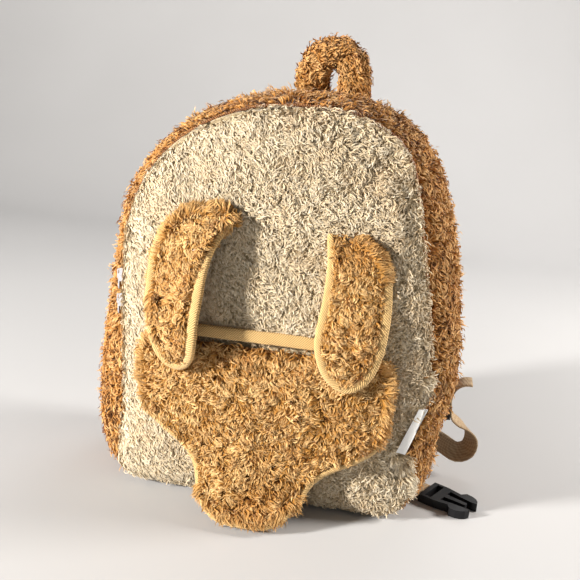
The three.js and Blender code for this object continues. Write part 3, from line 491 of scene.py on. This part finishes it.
def swell(points, size, seed):
    """A smooth random field, mostly from -1 to 1, with features of about that size."""
    rng = np.random.default_rng(seed)
    count = 12
    waves = unit(rng.normal(size=(count, 3))) * rng.uniform(0.6, 1.4, (count, 1)) * 2 * np.pi / size
    phases = rng.uniform(0, 2 * np.pi, count)
    return np.sin(points @ waves.T + phases).sum(1) / math.sqrt(count)


def joined_copy(cad_node, name, levels, cell=None):
    """A smooth copy of a CAD node: its split edges joined, its facets rounded by subdivision."""
    mesh = nodes[cad_node].data.copy()
    mesh.materials.clear()
    work = bmesh.new()
    work.from_mesh(mesh)
    bmesh.ops.remove_doubles(work, verts=work.verts, dist=0.01 * MM)
    bmesh.ops.join_triangles(
        work,
        faces=work.faces,
        angle_face_threshold=math.radians(35),
        angle_shape_threshold=math.radians(60),
    )
    work.to_mesh(mesh)
    work.free()
    obj = link(name, mesh)
    if cell:
        remesh = obj.modifiers.new("cells", "REMESH")
        remesh.mode = "VOXEL"
        remesh.voxel_size = cell
    if levels:
        rounded = obj.modifiers.new("rounded", "SUBSURF")
        rounded.levels = rounded.render_levels = levels
    apply_modifiers(obj)
    for polygon in obj.data.polygons:
        polygon.use_smooth = True
    return obj


def apply_modifiers(obj):
    view = bpy.context.evaluated_depsgraph_get()
    mesh = bpy.data.meshes.new_from_object(obj.evaluated_get(view))
    obj.modifiers.clear()
    old = obj.data
    obj.data = mesh
    bpy.data.meshes.remove(old)


def puff(obj, free, cap):
    """Swells a padded piece with cloth simulation, by cap at most. free is 1 where a point may move and 0
    where it is held."""
    start = points_of(obj.data)
    held = obj.vertex_groups.new(name="held")
    held.add([int(i) for i in np.nonzero(free < 0.5)[0]], 1.0, "REPLACE")
    cloth = obj.modifiers.new("Cloth", "CLOTH")
    settings = cloth.settings
    settings.quality = 6
    settings.mass = 0.2
    settings.tension_stiffness = settings.compression_stiffness = 12
    settings.shear_stiffness = 5
    settings.bending_stiffness = 0.4
    settings.use_pressure = True
    settings.uniform_pressure_force = PRESSURE
    settings.effector_weights.gravity = 0
    settings.vertex_group_mass = held.name
    for step in range(1, SIMULATED_FRAMES + 1):
        scene.frame_set(step)
    moved = points_of(obj.evaluated_get(bpy.context.evaluated_depsgraph_get()).data)
    obj.modifiers.remove(cloth)
    obj.vertex_groups.remove(held)
    scene.frame_set(1)
    move = np.nan_to_num(moved - start) * free[:, None]
    length = np.linalg.norm(move, axis=1, keepdims=True)
    move *= np.minimum(1, cap / np.maximum(length, 1e-9))
    set_points(obj.data, start + move)


def outwards(points):
    """Direction away from the bag's middle, in the plane of its outline."""
    away = points - MIDDLE
    away[:, 1] = 0
    return unit(away)


# Pile


def scatter(mesh, keep, count, rng):
    """Even random roots on a mesh, as points and normals. keep(points, normals) is their density."""
    points, normals, triangles = points_of(mesh), normals_of(mesh), triangles_of(mesh)
    corners = points[triangles]
    sides = corners[:, 1:] - corners[:, :1]
    area = np.linalg.norm(np.cross(sides[:, 0], sides[:, 1]), axis=1) / 2
    middle = corners.mean(1)
    facing = unit(normals[triangles].mean(1))
    total = np.cumsum(area * keep(middle, facing))
    wanted = (np.arange(count) + rng.uniform(0, 1, count)) / count * total[-1]
    chosen = np.searchsorted(total, wanted)
    a, b = rng.uniform(0, 1, (2, count))
    over = a + b > 1
    a[over], b[over] = 1 - a[over], 1 - b[over]
    weights = np.stack([1 - a - b, a, b], 1)[:, :, None]
    return (corners[chosen] * weights).sum(1), unit((normals[triangles[chosen]] * weights).sum(1))


def locks_of(roots, size, rng):
    """The strand that leads the lock of each strand, with locks about that size."""
    order = rng.permutation(len(roots))
    cells = np.floor(roots[order] / size).astype(int)
    leaders = order[np.unique(cells, axis=0, return_index=True)[1]]
    tree = KDTree(len(leaders))
    for i, place in enumerate(roots[leaders]):
        tree.insert(place, i)
    tree.balance()
    return leaders[[tree.find(place)[1] for place in roots]]


def grow(name, base, kind, colours, count, keep, lay, seed):
    """Strands over the faces of base, as flat ribbons. keep(points, normals) gives their density, and
    lay(points) their direction and how unruly they are."""
    rng = np.random.default_rng(seed)
    pile = PILES[kind]
    roots, normals = scatter(base.data, keep, count, rng)
    direction, unruly = lay(roots)
    direction = unit(direction - (direction * normals).sum(1, keepdims=True) * normals)
    side = np.cross(normals, direction)
    turn = unruly * (swell(roots, 26 * MM, seed + 1) + 0.7 * swell(roots, 9 * MM, seed + 2))
    turn += rng.normal(0, 0.4, count) * (0.4 + unruly)
    ahead = direction * np.cos(turn)[:, None] + side * np.sin(turn)[:, None]
    beside = np.cross(normals, ahead)

    length = pile["length"] * MM * rng.uniform(0.7, 1.25, count)
    leader = locks_of(roots, pile["lock"] * MM, rng)
    level = rng.beta(2.2, 1.6, count)
    level = 0.6 * level + 0.4 * level[leader]
    height = pile["height"] * MM * (0.35 + 0.85 * level) * (0.45 + 0.55 * np.minimum(unruly / 0.7, 1))
    curl = pile["curl"] * MM * rng.normal(0, 1, count)
    wave = rng.uniform(0.8, 1.9, count)
    phase = rng.uniform(0, 2, count)
    droop = rng.uniform(0.1, 0.7, count)
    stray = rng.uniform(0, 1, count) < pile["stray"]
    droop[stray] = -rng.uniform(0.2, 1.1, stray.sum())
    lying = np.where(stray, 0.5, 1.0) * rng.uniform(0.75, 1.0, count)
    height = np.where(stray, height * rng.uniform(1.1, 1.9, count), height)

    rows = STRAND_ROWS[None, :]
    rise = np.sin(np.pi / 2 * np.minimum(rows / RISEN, 1))
    rise = rise - droop[:, None] * np.maximum(rows - RISEN, 0) ** 1.6
    bend = np.sin(np.pi * (rows * wave[:, None] + phase[:, None])) - np.sin(np.pi * phase[:, None])
    centre = (
        roots[:, None]
        + normals[:, None] * (height[:, None] * rise)[..., None]
        + ahead[:, None] * ((length * lying)[:, None] * rows)[..., None]
        + beside[:, None] * (curl[:, None] * bend)[..., None]
    )
    pull = pile["clump"] * rng.uniform(0.6, 1.2, (count, 1)) * rows**1.3
    own = centre - roots[:, None]
    led = own[leader] + (roots[leader] - roots)[:, None]
    centre = roots[:, None] + own + (led - own) * pull[..., None]
    along = unit(np.gradient(centre, axis=1))
    width = unit(np.cross(along, normals[:, None]))
    above = np.cross(width, along)
    half = 0.5 * pile["width"] * MM * rng.uniform(0.7, 1.25, count)[:, None] * STRAND_WIDTHS[None, :]
    roll = rng.normal(0, 0.5, (count, 1))
    across = (width * np.cos(roll)[..., None] + above * np.sin(roll)[..., None]) * half[..., None]
    inner = np.stack([(centre + across)[:, 1:-1], (centre - across)[:, 1:-1]], 2).reshape(count, -1, 3)
    points = np.concatenate([centre[:, :1], inner, centre[:, -1:]], 1)
    points[..., 2] = np.maximum(points[..., 2], FLOOR)

    size = points.shape[1]
    strand = [(0, 1, 2)]
    for row in range(1, size - 3, 2):
        strand += [(row, row + 2, row + 3), (row, row + 3, row + 1)]
    strand += [(size - 3, size - 1, size - 2)]
    triangles = (np.array(strand)[None] + size * np.arange(count)[:, None, None]).reshape(-1, 3)
    mesh = triangle_mesh(name, points.reshape(-1, 3), triangles)
    share = np.repeat(STRAND_ROWS, [1] + [2] * (len(STRAND_ROWS) - 2) + [1])
    # Painted shade and light along each strand: darker towards the root and lighter towards the tip, the deep
    # strands darker and the high ones lighter, more so where the pile is unruly, which is also a little
    # darker overall.
    lift = pile["depth"] * (0.35 + unruly) * (level - 0.5)
    shade = 0.2 - 0.08 * unruly[:, None] + 0.6 * share**0.7 + lift[:, None] * np.minimum(share * 4, 1)
    shade = np.clip(shade, 0, 1)
    shade[:, 0] *= 0.3
    set_attribute(mesh, "shade", shade.ravel())
    tone = 0.55 * rng.uniform(0, 1, count) + 0.45 * rng.uniform(0, 1, count)[leader]
    set_attribute(mesh, "tone", np.repeat(tone, size))
    mesh.materials.append(pile_material(name + "_strands", colours))
    return link(name, mesh)


def edge_tree(bindings):
    """Points along the middle lines of CAD bindings, for finding the nearest."""
    places = []
    for binding in bindings:
        path = np.array([ring.mean(0) for ring in rings_of(binding, 6)])
        for share in (0, 0.25, 0.5, 0.75):
            places.append(path[:-1] + np.diff(path, axis=0) * share)
    places = np.concatenate(places)
    tree = KDTree(len(places))
    for i, place in enumerate(places):
        tree.insert(place, i)
    tree.balance()
    return lambda points: places[[tree.find(place)[1] for place in points]]


def plush(cad_node, kind, colours, count, keep, lay, seed, outside, cap=1.6 * MM, bindings=()):
    """A plush piece in the place of a CAD node: its knitted ground, puffed and sunk below the CAD surface,
    and its pile. outside(points, normals) is 1 on the faces that carry pile."""
    ground = joined_copy(cad_node, cad_node + "_ground", PLUSH_LEVELS)
    points, normals = points_of(ground.data), normals_of(ground.data)
    out = outside(points, normals)
    puff(ground, (out > 0.5).astype(float), cap)
    points, normals = points_of(ground.data), normals_of(ground.data)
    sink = out * PILES[kind]["sink"] * MM
    if bindings:
        away = np.linalg.norm(edge_tree(bindings)(points) - points, axis=1)
        sink *= 0.35 + 0.65 * smoothstep(4 * MM, 9 * MM, away)
    points -= normals * sink[:, None]
    points[:, 2] = np.maximum(points[:, 2], FLOOR)
    set_points(ground.data, points)
    ground.data.materials.append(backing_material(cad_node + "_knit", colours))
    pile = grow(cad_node + "_pile", ground, kind, colours, count, keep, lay, seed)
    for piece in (ground, pile):
        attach(piece, "bag")
    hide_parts(cad_node)
    return ground


def more_pile(name, ground, kind, colours, count, keep, lay, seed):
    pile = grow(name, ground, kind, colours, count, keep, lay, seed)
    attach(pile, "bag")


def fringe(name, ground, binding, colours, count, where, seed, kind="fringe", band=7 * MM):
    """Long strands from beside a bound edge, lying outwards over its binding. where(points) is 1 along the
    parts of the edge that they cover."""
    nearest = edge_tree([binding])

    def keep(points, normals):
        near = nearest(points)
        away = np.linalg.norm((near - points)[:, [0, 2]], axis=1)
        return (normals[:, 1] < 0.1) * (away < band) * where(near)

    def lay(points):
        out = unit((nearest(points) - points) * np.array([1, 0, 1]))
        return out + np.array([0, 0, -0.35]), np.full(len(points), 0.45)

    more_pile(name, ground, kind, colours, count, keep, lay, seed)


def front_panel():
    def outside(points, normals):
        sideways = (normals * outwards(points)).sum(1)
        return np.maximum(smoothstep(-0.1, 0.3, -normals[:, 1]), smoothstep(0.2, 0.6, sideways))

    def keep(points, normals):
        hidden = (np.abs(points[:, 0]) < FLAP_HALF_WIDTH - 9 * MM) & (points[:, 2] < FLAP_MOUTH - 6 * MM)
        beside_tongue = (np.abs(points[:, 0]) > 26 * MM) & (points[:, 2] < 62 * MM)
        hidden &= ~beside_tongue
        on_floor = points[:, 2] < 1.5 * MM
        return outside(points, normals) * ~on_floor * beside_label(points) * np.where(hidden, 0.12, 1.0)

    def lay(points):
        across = points[:, 0] / PANEL_HALF_WIDTH
        up = points[:, 2] / PANEL_HEIGHT
        direction = np.stack([0.45 - 0.25 * across, np.zeros(len(points)), -0.9 * np.ones(len(points))], 1)
        unruly = 0.25 + 0.85 * smoothstep(-0.6, 0.5, across + 0.35 * (0.7 - up))
        return direction, unruly

    def rim(points, normals):
        away = np.linalg.norm(points[:, None] - edge[None], axis=2).min(1)
        side = (points[:, 0] > 60 * MM) & (points[:, 2] > 20 * MM)
        return (away < 7 * MM) * side * beside_label(points) * outside(points, normals)

    def over_seam(points):
        return outwards(points) + np.array([0, 0.6, -0.5]), np.full(len(points), 0.5)

    ground = plush("front_panel", "cream", CREAM, 31000, keep, lay, 11, outside)
    more_pile("front_panel_down", ground, "cream_down", CREAM, 20000, keep, lay, 13)
    points = points_of(nodes["front_panel"].data)
    edge = points[points[:, 1] > FRONT_SEAM - 1 * MM]
    more_pile("front_panel_fringe", ground, "fringe", CREAM, 1500, rim, over_seam, 17)


def gusset():
    def outside(points, normals):
        return smoothstep(-0.15, 0.35, (normals * outwards(points)).sum(1))

    def keep(points, normals):
        on_floor = (points[:, 2] < 4 * MM) & (normals[:, 2] < -0.2)
        return outside(points, normals) * ~on_floor * beside_label(points, -47 * MM)

    def lay(points):
        away = outwards(points)
        down = np.stack([-away[:, 2], np.zeros(len(points)), away[:, 0]], 1)
        down *= -np.sign(down[:, 2:] + 1e-9)
        direction = down + np.array([0, 0.35, 0])
        return direction, np.full(len(points), 0.65)

    plush("gusset", "gusset", GINGER, 25000, keep, lay, 23, outside)


def beside_label(points, behind=-36 * MM):
    """1 away from the label and 0 beneath it. Points farther back than behind don't count."""
    low, high = label_low[[0, 2]], label_high[[0, 2]]
    flat = points[:, [0, 2]]
    inside = (flat > low - 2 * MM) & (flat < high + 3 * MM)
    line = (high - low) / np.linalg.norm(high - low)
    away = flat - (low + high) / 2
    across = np.abs(away[:, 0] * line[1] - away[:, 1] * line[0])
    return ~(inside.all(1) & (across < 8 * MM) & (points[:, 1] < behind))


def everywhere(points):
    return np.ones(len(points))


def facing_front(points, normals):
    return smoothstep(-0.2, 0.25, -normals[:, 1])


def flap():
    def lay(points):
        across = points[:, 0] / FLAP_HALF_WIDTH
        sideways = 0.5 * across - 0.7 * smoothstep(0.1, 0.9, across)
        direction = np.stack([sideways, np.zeros(len(points)), -np.ones(len(points))], 1)
        return direction, np.full(len(points), 0.8)

    def covered(points):
        beside = (np.abs(points[:, 0]) > 0.87 * FLAP_HALF_WIDTH) & (points[:, 2] > 0.5 * FLAP_MOUTH)
        lowest = points[:, 2] < 0.16 * FLAP_MOUTH
        return beside | lowest

    ground = plush(
        "flap", "flap", CARAMEL, 20500, facing_front, lay, 37, facing_front,
        bindings=("flap_hem_binding", "flap_mouth_binding"),
    )
    fringe("flap_fringe", ground, "flap_hem_binding", CARAMEL, 2600, covered, 39)
    fringe("flap_mouth_edge", ground, "flap_mouth_binding", CARAMEL, 1800, everywhere, 43, "edge", 9 * MM)


def ear(side, seed):
    def lay(points):
        return np.tile([0.15, 0, -1.0], (len(points), 1)), np.full(len(points), 0.75)

    place, mirror = EARS[side]

    def covered(points):
        across = mirror * (points[:, 0] - place) / EAR_HALF_WIDTH
        up = (points[:, 2] - EAR_TIP) / EAR_LENGTH
        if side == "left":
            return ((across > 0.15) & (up > 0.22)) | (up > 0.93)
        return (up > 0.7) & (across > -0.4)

    def bare(points):
        return ~covered(points)

    ground = plush(
        f"ear_{side}", "ear", CARAMEL, 6500, facing_front, lay, seed, facing_front,
        cap=1.2 * MM, bindings=(f"ear_{side}_binding",),
    )
    fringe(f"ear_{side}_fringe", ground, f"ear_{side}_binding", CARAMEL, 2200, covered, seed + 2)
    fringe(f"ear_{side}_edge", ground, f"ear_{side}_binding", CARAMEL, 900, bare, seed + 3, "edge")


def grab_loop():
    def outside(points, normals):
        return np.ones(len(points))

    def lay(points):
        away = outwards(points - np.array([19 * MM, 0, 165 * MM]))
        return np.stack([away[:, 2], np.zeros(len(points)), -away[:, 0]], 1), np.full(len(points), 0.7)

    plush("handle", "handle", GINGER, 8000, outside, lay, 53, outside, cap=1.0 * MM)


# Bound edges


def rings_of(cad_node, size):
    """Cross sections of a swept CAD node, from one end to the other: each an array of points."""
    mesh = nodes[cad_node].data
    work = bmesh.new()
    work.from_mesh(mesh)
    bmesh.ops.remove_doubles(work, verts=work.verts, dist=0.01 * MM)
    ends = [
        v
        for v in work.verts
        if len(v.link_edges) == size
        and all(f.normal.dot(v.link_faces[0].normal) > 0.98 for f in v.link_faces)
    ]
    rings = []
    seen = {ends[0]}
    layer = [ends[0]]
    while layer:
        following = []
        for v in layer:
            for edge in v.link_edges:
                other = edge.other_vert(v)
                if other not in seen:
                    seen.add(other)
                    following.append(other)
        if len(following) == size:
            rings.append(np.array([v.co for v in following]))
        layer = following
    work.free()
    return rings


def tape_places(points, path, inwards):
    """Length along a path and width across it for each point."""
    starts, ends = path[:-1], path[1:]
    spans = ends - starts
    lengths = np.linalg.norm(spans, axis=1)
    run = np.concatenate([[0], np.cumsum(lengths)])
    best = np.full(len(points), np.inf)
    u, v = np.zeros(len(points)), np.zeros(len(points))
    for i in range(len(spans)):
        share = np.clip((points - starts[i]) @ spans[i] / lengths[i] ** 2, 0, 1)
        away = points - starts[i] - share[:, None] * spans[i]
        distance = np.linalg.norm(away, axis=1)
        nearer = distance < best
        best = np.where(nearer, distance, best)
        u = np.where(nearer, run[i] + share * lengths[i], u)
        v = np.where(nearer, away @ inwards[i], v)
    return np.stack([u, v, np.zeros(len(points))], 1)


def bound_edge(cad_node, seed, centre=None):
    """A folded twill binding in the place of a CAD node, slightly uneven, with a row of stitches."""
    rings = rings_of(cad_node, 6)
    path = np.array([ring.mean(0) for ring in rings])
    along = unit(np.gradient(path, axis=0))
    middle = path.mean(0) if centre is None else centre
    inwards = unit(middle - path)
    inwards = unit(inwards - (inwards * along).sum(1, keepdims=True) * along)
    tape = joined_copy(cad_node, cad_node + "_tape", 2)
    points = points_of(tape.data)
    places = tape_places(points, path, inwards)
    normals = normals_of(tape.data)
    waves = 0.22 * MM * np.sin(places[:, 0] / (3.4 * MM) * 2 * np.pi)
    puckers = waves * swell(points, 14 * MM, seed)
    points += normals * (puckers + 0.25 * MM)[:, None]
    points[:, 2] = np.maximum(points[:, 2], FLOOR)
    set_points(tape.data, points)
    set_attribute(tape.data, "tape", places)
    tape.data.materials.append(twill_material(cad_node + "_twill", TWILL))
    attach(tape, "bag")
    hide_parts(cad_node)
    tree = BVHTree.FromPolygons(points.tolist(), triangles_of(tape.data).tolist())
    front_inner = []
    for ring, inner in zip(rings, inwards):
        across = ring @ inner
        deep = ring[:, 1] - ring[:, 1].min()
        score = (across - across.min()) / np.ptp(across) - deep / max(deep.max(), 1e-6)
        front_inner.append(ring[score.argmax()] - 1.5 * MM * inner)
    stitch_row(cad_node + "_stitches", np.array(front_inner), tree)


def stitch_row(name, path, tree):
    """Short threads along a path, laid on the front of a tape, which tree holds."""
    spans = np.linalg.norm(np.diff(path, axis=0), axis=1)
    run = np.concatenate([[0], np.cumsum(spans)])
    starts = np.arange(STITCH, run[-1] - STITCH, STITCH + STITCH_GAP)
    backwards = np.array([0, 1.0, 0])
    points, triangles = [], []
    for start in starts:
        ends = []
        for at in (start, start + STITCH / 2, start + STITCH):
            place = np.array([np.interp(at, run, path[:, k]) for k in range(3)])
            hit = tree.ray_cast(Vector(place - backwards * REACH), Vector(backwards), 2 * REACH)
            if hit[0] is None:
                break
            ends.append((np.array(hit[0]), np.array(hit[1])))
        if len(ends) < 3:
            continue
        line = unit(ends[2][0] - ends[0][0])
        base = len(points)
        for (place, normal), (half, lift) in zip(ends, ((0.12, -0.1), (0.24, 0.22), (0.12, -0.1))):
            across = unit(np.cross(line, normal))
            for a, b in ((1, 0), (0.5, 0.8), (-0.5, 0.8), (-1, 0)):
                points.append(place + across * a * half * MM + normal * (lift + b * half) * MM)
        for row in (0, 4):
            for k in range(3):
                i = base + row + k
                triangles += [(i, i + 4, i + 5), (i, i + 5, i + 1)]
    mesh = triangle_mesh(name, np.array(points), np.array(triangles))
    thread = TWILL[1]
    material, shading, shader = new_material(name + "_thread")
    colour_by_noise(shading, shader, (tuple(c * 0.8 for c in thread), thread), 300)
    soft(shader, 0.6, 0.1)
    mesh.materials.append(material)
    obj = link(name, mesh)
    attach(obj, "bag")


# Webbing, straps and back


def run_lengths(points, triangles, seeds):
    """Distance along the surface from the seed points."""
    around = [[] for _ in points]
    edges = {tuple(sorted(pair)) for t in triangles for pair in ((t[0], t[1]), (t[1], t[2]), (t[2], t[0]))}
    for a, b in edges:
        length = float(np.linalg.norm(points[a] - points[b]))
        around[a].append((b, length))
        around[b].append((a, length))
    far = np.full(len(points), np.inf)
    queue = []
    for seed in seeds:
        far[seed] = 0
        queue.append((0.0, int(seed)))
    heapq.heapify(queue)
    while queue:
        distance, at = heapq.heappop(queue)
        if distance > far[at]:
            continue
        for other, length in around[at]:
            if distance + length < far[other]:
                far[other] = distance + length
                heapq.heappush(queue, (distance + length, other))
    far[~np.isfinite(far)] = 0
    return far


def webbing(cad_node, end, width_axis):
    """Woven webbing in the place of a CAD node. end is a point near the end its length is measured from."""
    obj = joined_copy(cad_node, cad_node + "_woven", 0)
    work = bmesh.new()
    work.from_mesh(obj.data)
    for _ in range(3):
        long_edges = [e for e in work.edges if e.calc_length() > 2.5 * MM]
        bmesh.ops.subdivide_edges(work, edges=long_edges, cuts=1, use_grid_fill=True)
    bmesh.ops.triangulate(work, faces=work.faces)
    work.to_mesh(obj.data)
    work.free()
    points, triangles = points_of(obj.data), triangles_of(obj.data)
    distance = np.linalg.norm(points - np.array(end), axis=1)
    u = run_lengths(points, triangles, np.nonzero(distance < distance.min() + 3 * MM)[0])
    v = points @ np.array(width_axis, float)
    set_attribute(obj.data, "tape", np.stack([u, v, np.zeros(len(u))], 1))
    obj.data.materials.append(webbing_material(cad_node + "_weave", WEBBING))
    for polygon in obj.data.polygons:
        polygon.use_smooth = True
    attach(obj, "bag")
    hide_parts(cad_node)


def shoulder_strap(side):
    cad_node = f"shoulder_strap_{side}"
    strap = joined_copy(cad_node, cad_node + "_pad", 1, cell=3.2 * MM)
    normals = normals_of(strap.data)
    set_points(strap.data, points_of(strap.data) - normals * 0.6 * MM)
    puff(strap, np.ones(len(normals)), 1.2 * MM)
    strap.data.materials.append(woven_material(cad_node + "_cloth", CLOTH, 1.3 * MM))
    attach(strap, "bag")
    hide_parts(cad_node)


def back_panel():
    panel = joined_copy("back_panel", "back_panel_cloth", 2)
    panel.data.materials.append(woven_material("back_cloth", CLOTH, 1.3 * MM))
    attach(panel, "bag")
    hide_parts("back_panel")


# Zip


def outline_path(cad_node, steps=700):
    """Middle line of a strip that runs round the front seam, found by rays from the bag's middle."""
    mesh = nodes[cad_node].data
    tree = BVHTree.FromPolygons(points_of(mesh).tolist(), triangles_of(mesh).tolist())
    start = Vector((0, FRONT_SEAM, MIDDLE[2]))
    path = []
    for i in range(steps):
        angle = math.radians(-40) + math.radians(260) * i / steps
        ray = Vector((math.cos(angle), 0, math.sin(angle)))
        hit = tree.ray_cast(start, ray, 0.4)
        if hit[0] is None:
            continue
        beyond = tree.ray_cast(hit[0] + ray * 0.05 * MM, ray, 20 * MM)
        path.append(np.array((hit[0] + beyond[0]) / 2 if beyond[0] else hit[0]))
    return np.array(path)


def zip_coil():
    """Interlocked coil loops in the place of the CAD strip."""
    path = outline_path("zip_coil")
    spans = np.linalg.norm(np.diff(path, axis=0), axis=1)
    run = np.concatenate([[0], np.cumsum(spans)])
    pitch = 1.5 * MM
    sides = 6
    places = np.arange(pitch, run[-1] - pitch, pitch)
    centre = np.stack([np.interp(places, run, path[:, k]) for k in range(3)], 1)
    along = unit(np.gradient(centre, axis=0))
    across = np.array([0, 1.0, 0])
    out = unit(np.cross(np.tile(across, (len(along), 1)), along))
    out *= np.sign((out * outwards(centre)).sum(1, keepdims=True))
    half = 1.9 * MM
    thick = 0.42 * MM
    lift = 0.5 * MM
    arch = np.array([-1, -0.75, 0, 0.75, 1])
    heights = np.array([-0.6, 0.6, 1.0, 0.6, -0.6])
    slant = np.array([-0.5, -0.3, 0, 0.3, 0.5]) * pitch
    around = np.linspace(0, 2 * np.pi, sides, endpoint=False)
    points, triangles = [], []
    for i, (c, a, o) in enumerate(zip(centre, along, out)):
        base = i * len(arch) * sides
        for k in range(len(arch)):
            middle = c + across * arch[k] * half + o * heights[k] * lift + a * slant[k]
            for angle in around:
                points.append(middle + (a * math.cos(angle) + o * math.sin(angle)) * thick)
        for k in range(len(arch) - 1):
            for s in range(sides):
                p, q = base + k * sides + s, base + k * sides + (s + 1) % sides
                triangles += [(p, q, q + sides), (p, q + sides, p + sides)]
    mesh = triangle_mesh("zip_coil_loops", np.array(points), np.array(triangles))
    material, tree, shader = new_material("coil_nylon")
    colour_by_noise(tree, shader, COIL, 400)
    shader.inputs["Roughness"].default_value = 0.4
    mesh.materials.append(material)
    obj = link("zip_coil_loops", mesh)
    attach(obj, "bag")
    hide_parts("zip_coil")


def zip_tape():
    tape = joined_copy("zip_tape", "zip_tape_cloth", 1)
    path = outline_path("zip_coil")
    points = points_of(tape.data)
    places = tape_places(points, path[::4], np.tile([0, 1.0, 0], (len(path[::4]), 1)))
    set_attribute(tape.data, "tape", places)
    tape.data.materials.append(twill_material("zip_tape_weave", TAPE, 1.0 * MM, 1.4))
    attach(tape, "bag")
    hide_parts("zip_tape")


def keep_hard(names, material, edge):
    """CAD nodes that show as they are, with softened edges and a finish."""
    for name in names:
        obj = nodes[name]
        obj.data.materials.clear()
        obj.data.materials.append(material)
        softened = obj.modifiers.new("edges", "BEVEL")
        softened.width = edge
        softened.segments = 3
        softened.limit_method = "ANGLE"
        softened.angle_limit = math.radians(40)
        softened.harden_normals = False


# Label


def label():
    """A blank ribbon in the place of the CAD label."""
    ribbon = joined_copy("label", "label_ribbon", 0)
    ribbon.data.set_sharp_from_angle(angle=math.radians(40))
    points = points_of(ribbon.data)
    _, _, axes = np.linalg.svd(points - points.mean(0), full_matrices=False)
    set_attribute(ribbon.data, "tape", (points - points.mean(0)) @ axes.T)
    ribbon.data.materials.append(label_material("label_satin"))
    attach(ribbon, "bag")
    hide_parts("label")


make_camera()
make_studio()
front_panel()
gusset()
flap()
ear("left", 41)
ear("right", 47)
grab_loop()
bound_edge("flap_hem_binding", 3)
bound_edge("flap_mouth_binding", 5, np.array([0, -72 * MM, 60 * MM]))
bound_edge("ear_left_binding", 7)
bound_edge("ear_right_binding", 9)
zip_tape()
zip_coil()
back_panel()
for side in ("left", "right"):
    shoulder_strap(side)
webbing("strap_webbing_right", (0.157, 0.072, 0.092), (0, 1, 0))
webbing("strap_webbing_left", (-0.086, 0.07, 0.07), (1, 0, 0))
webbing("waist_webbing_right", (0.127, -0.012, 0.0035), (0.48, 0.87, 0))
webbing("waist_webbing_left", (-0.058, 0.07, 0.0035), (0, 1, 0))
label()
keep_hard(METAL_NODES, metal_material("zip_metal"), 0.25 * MM)
keep_hard(PLASTIC_NODES, plastic_material("satin_plastic"), 0.5 * MM)
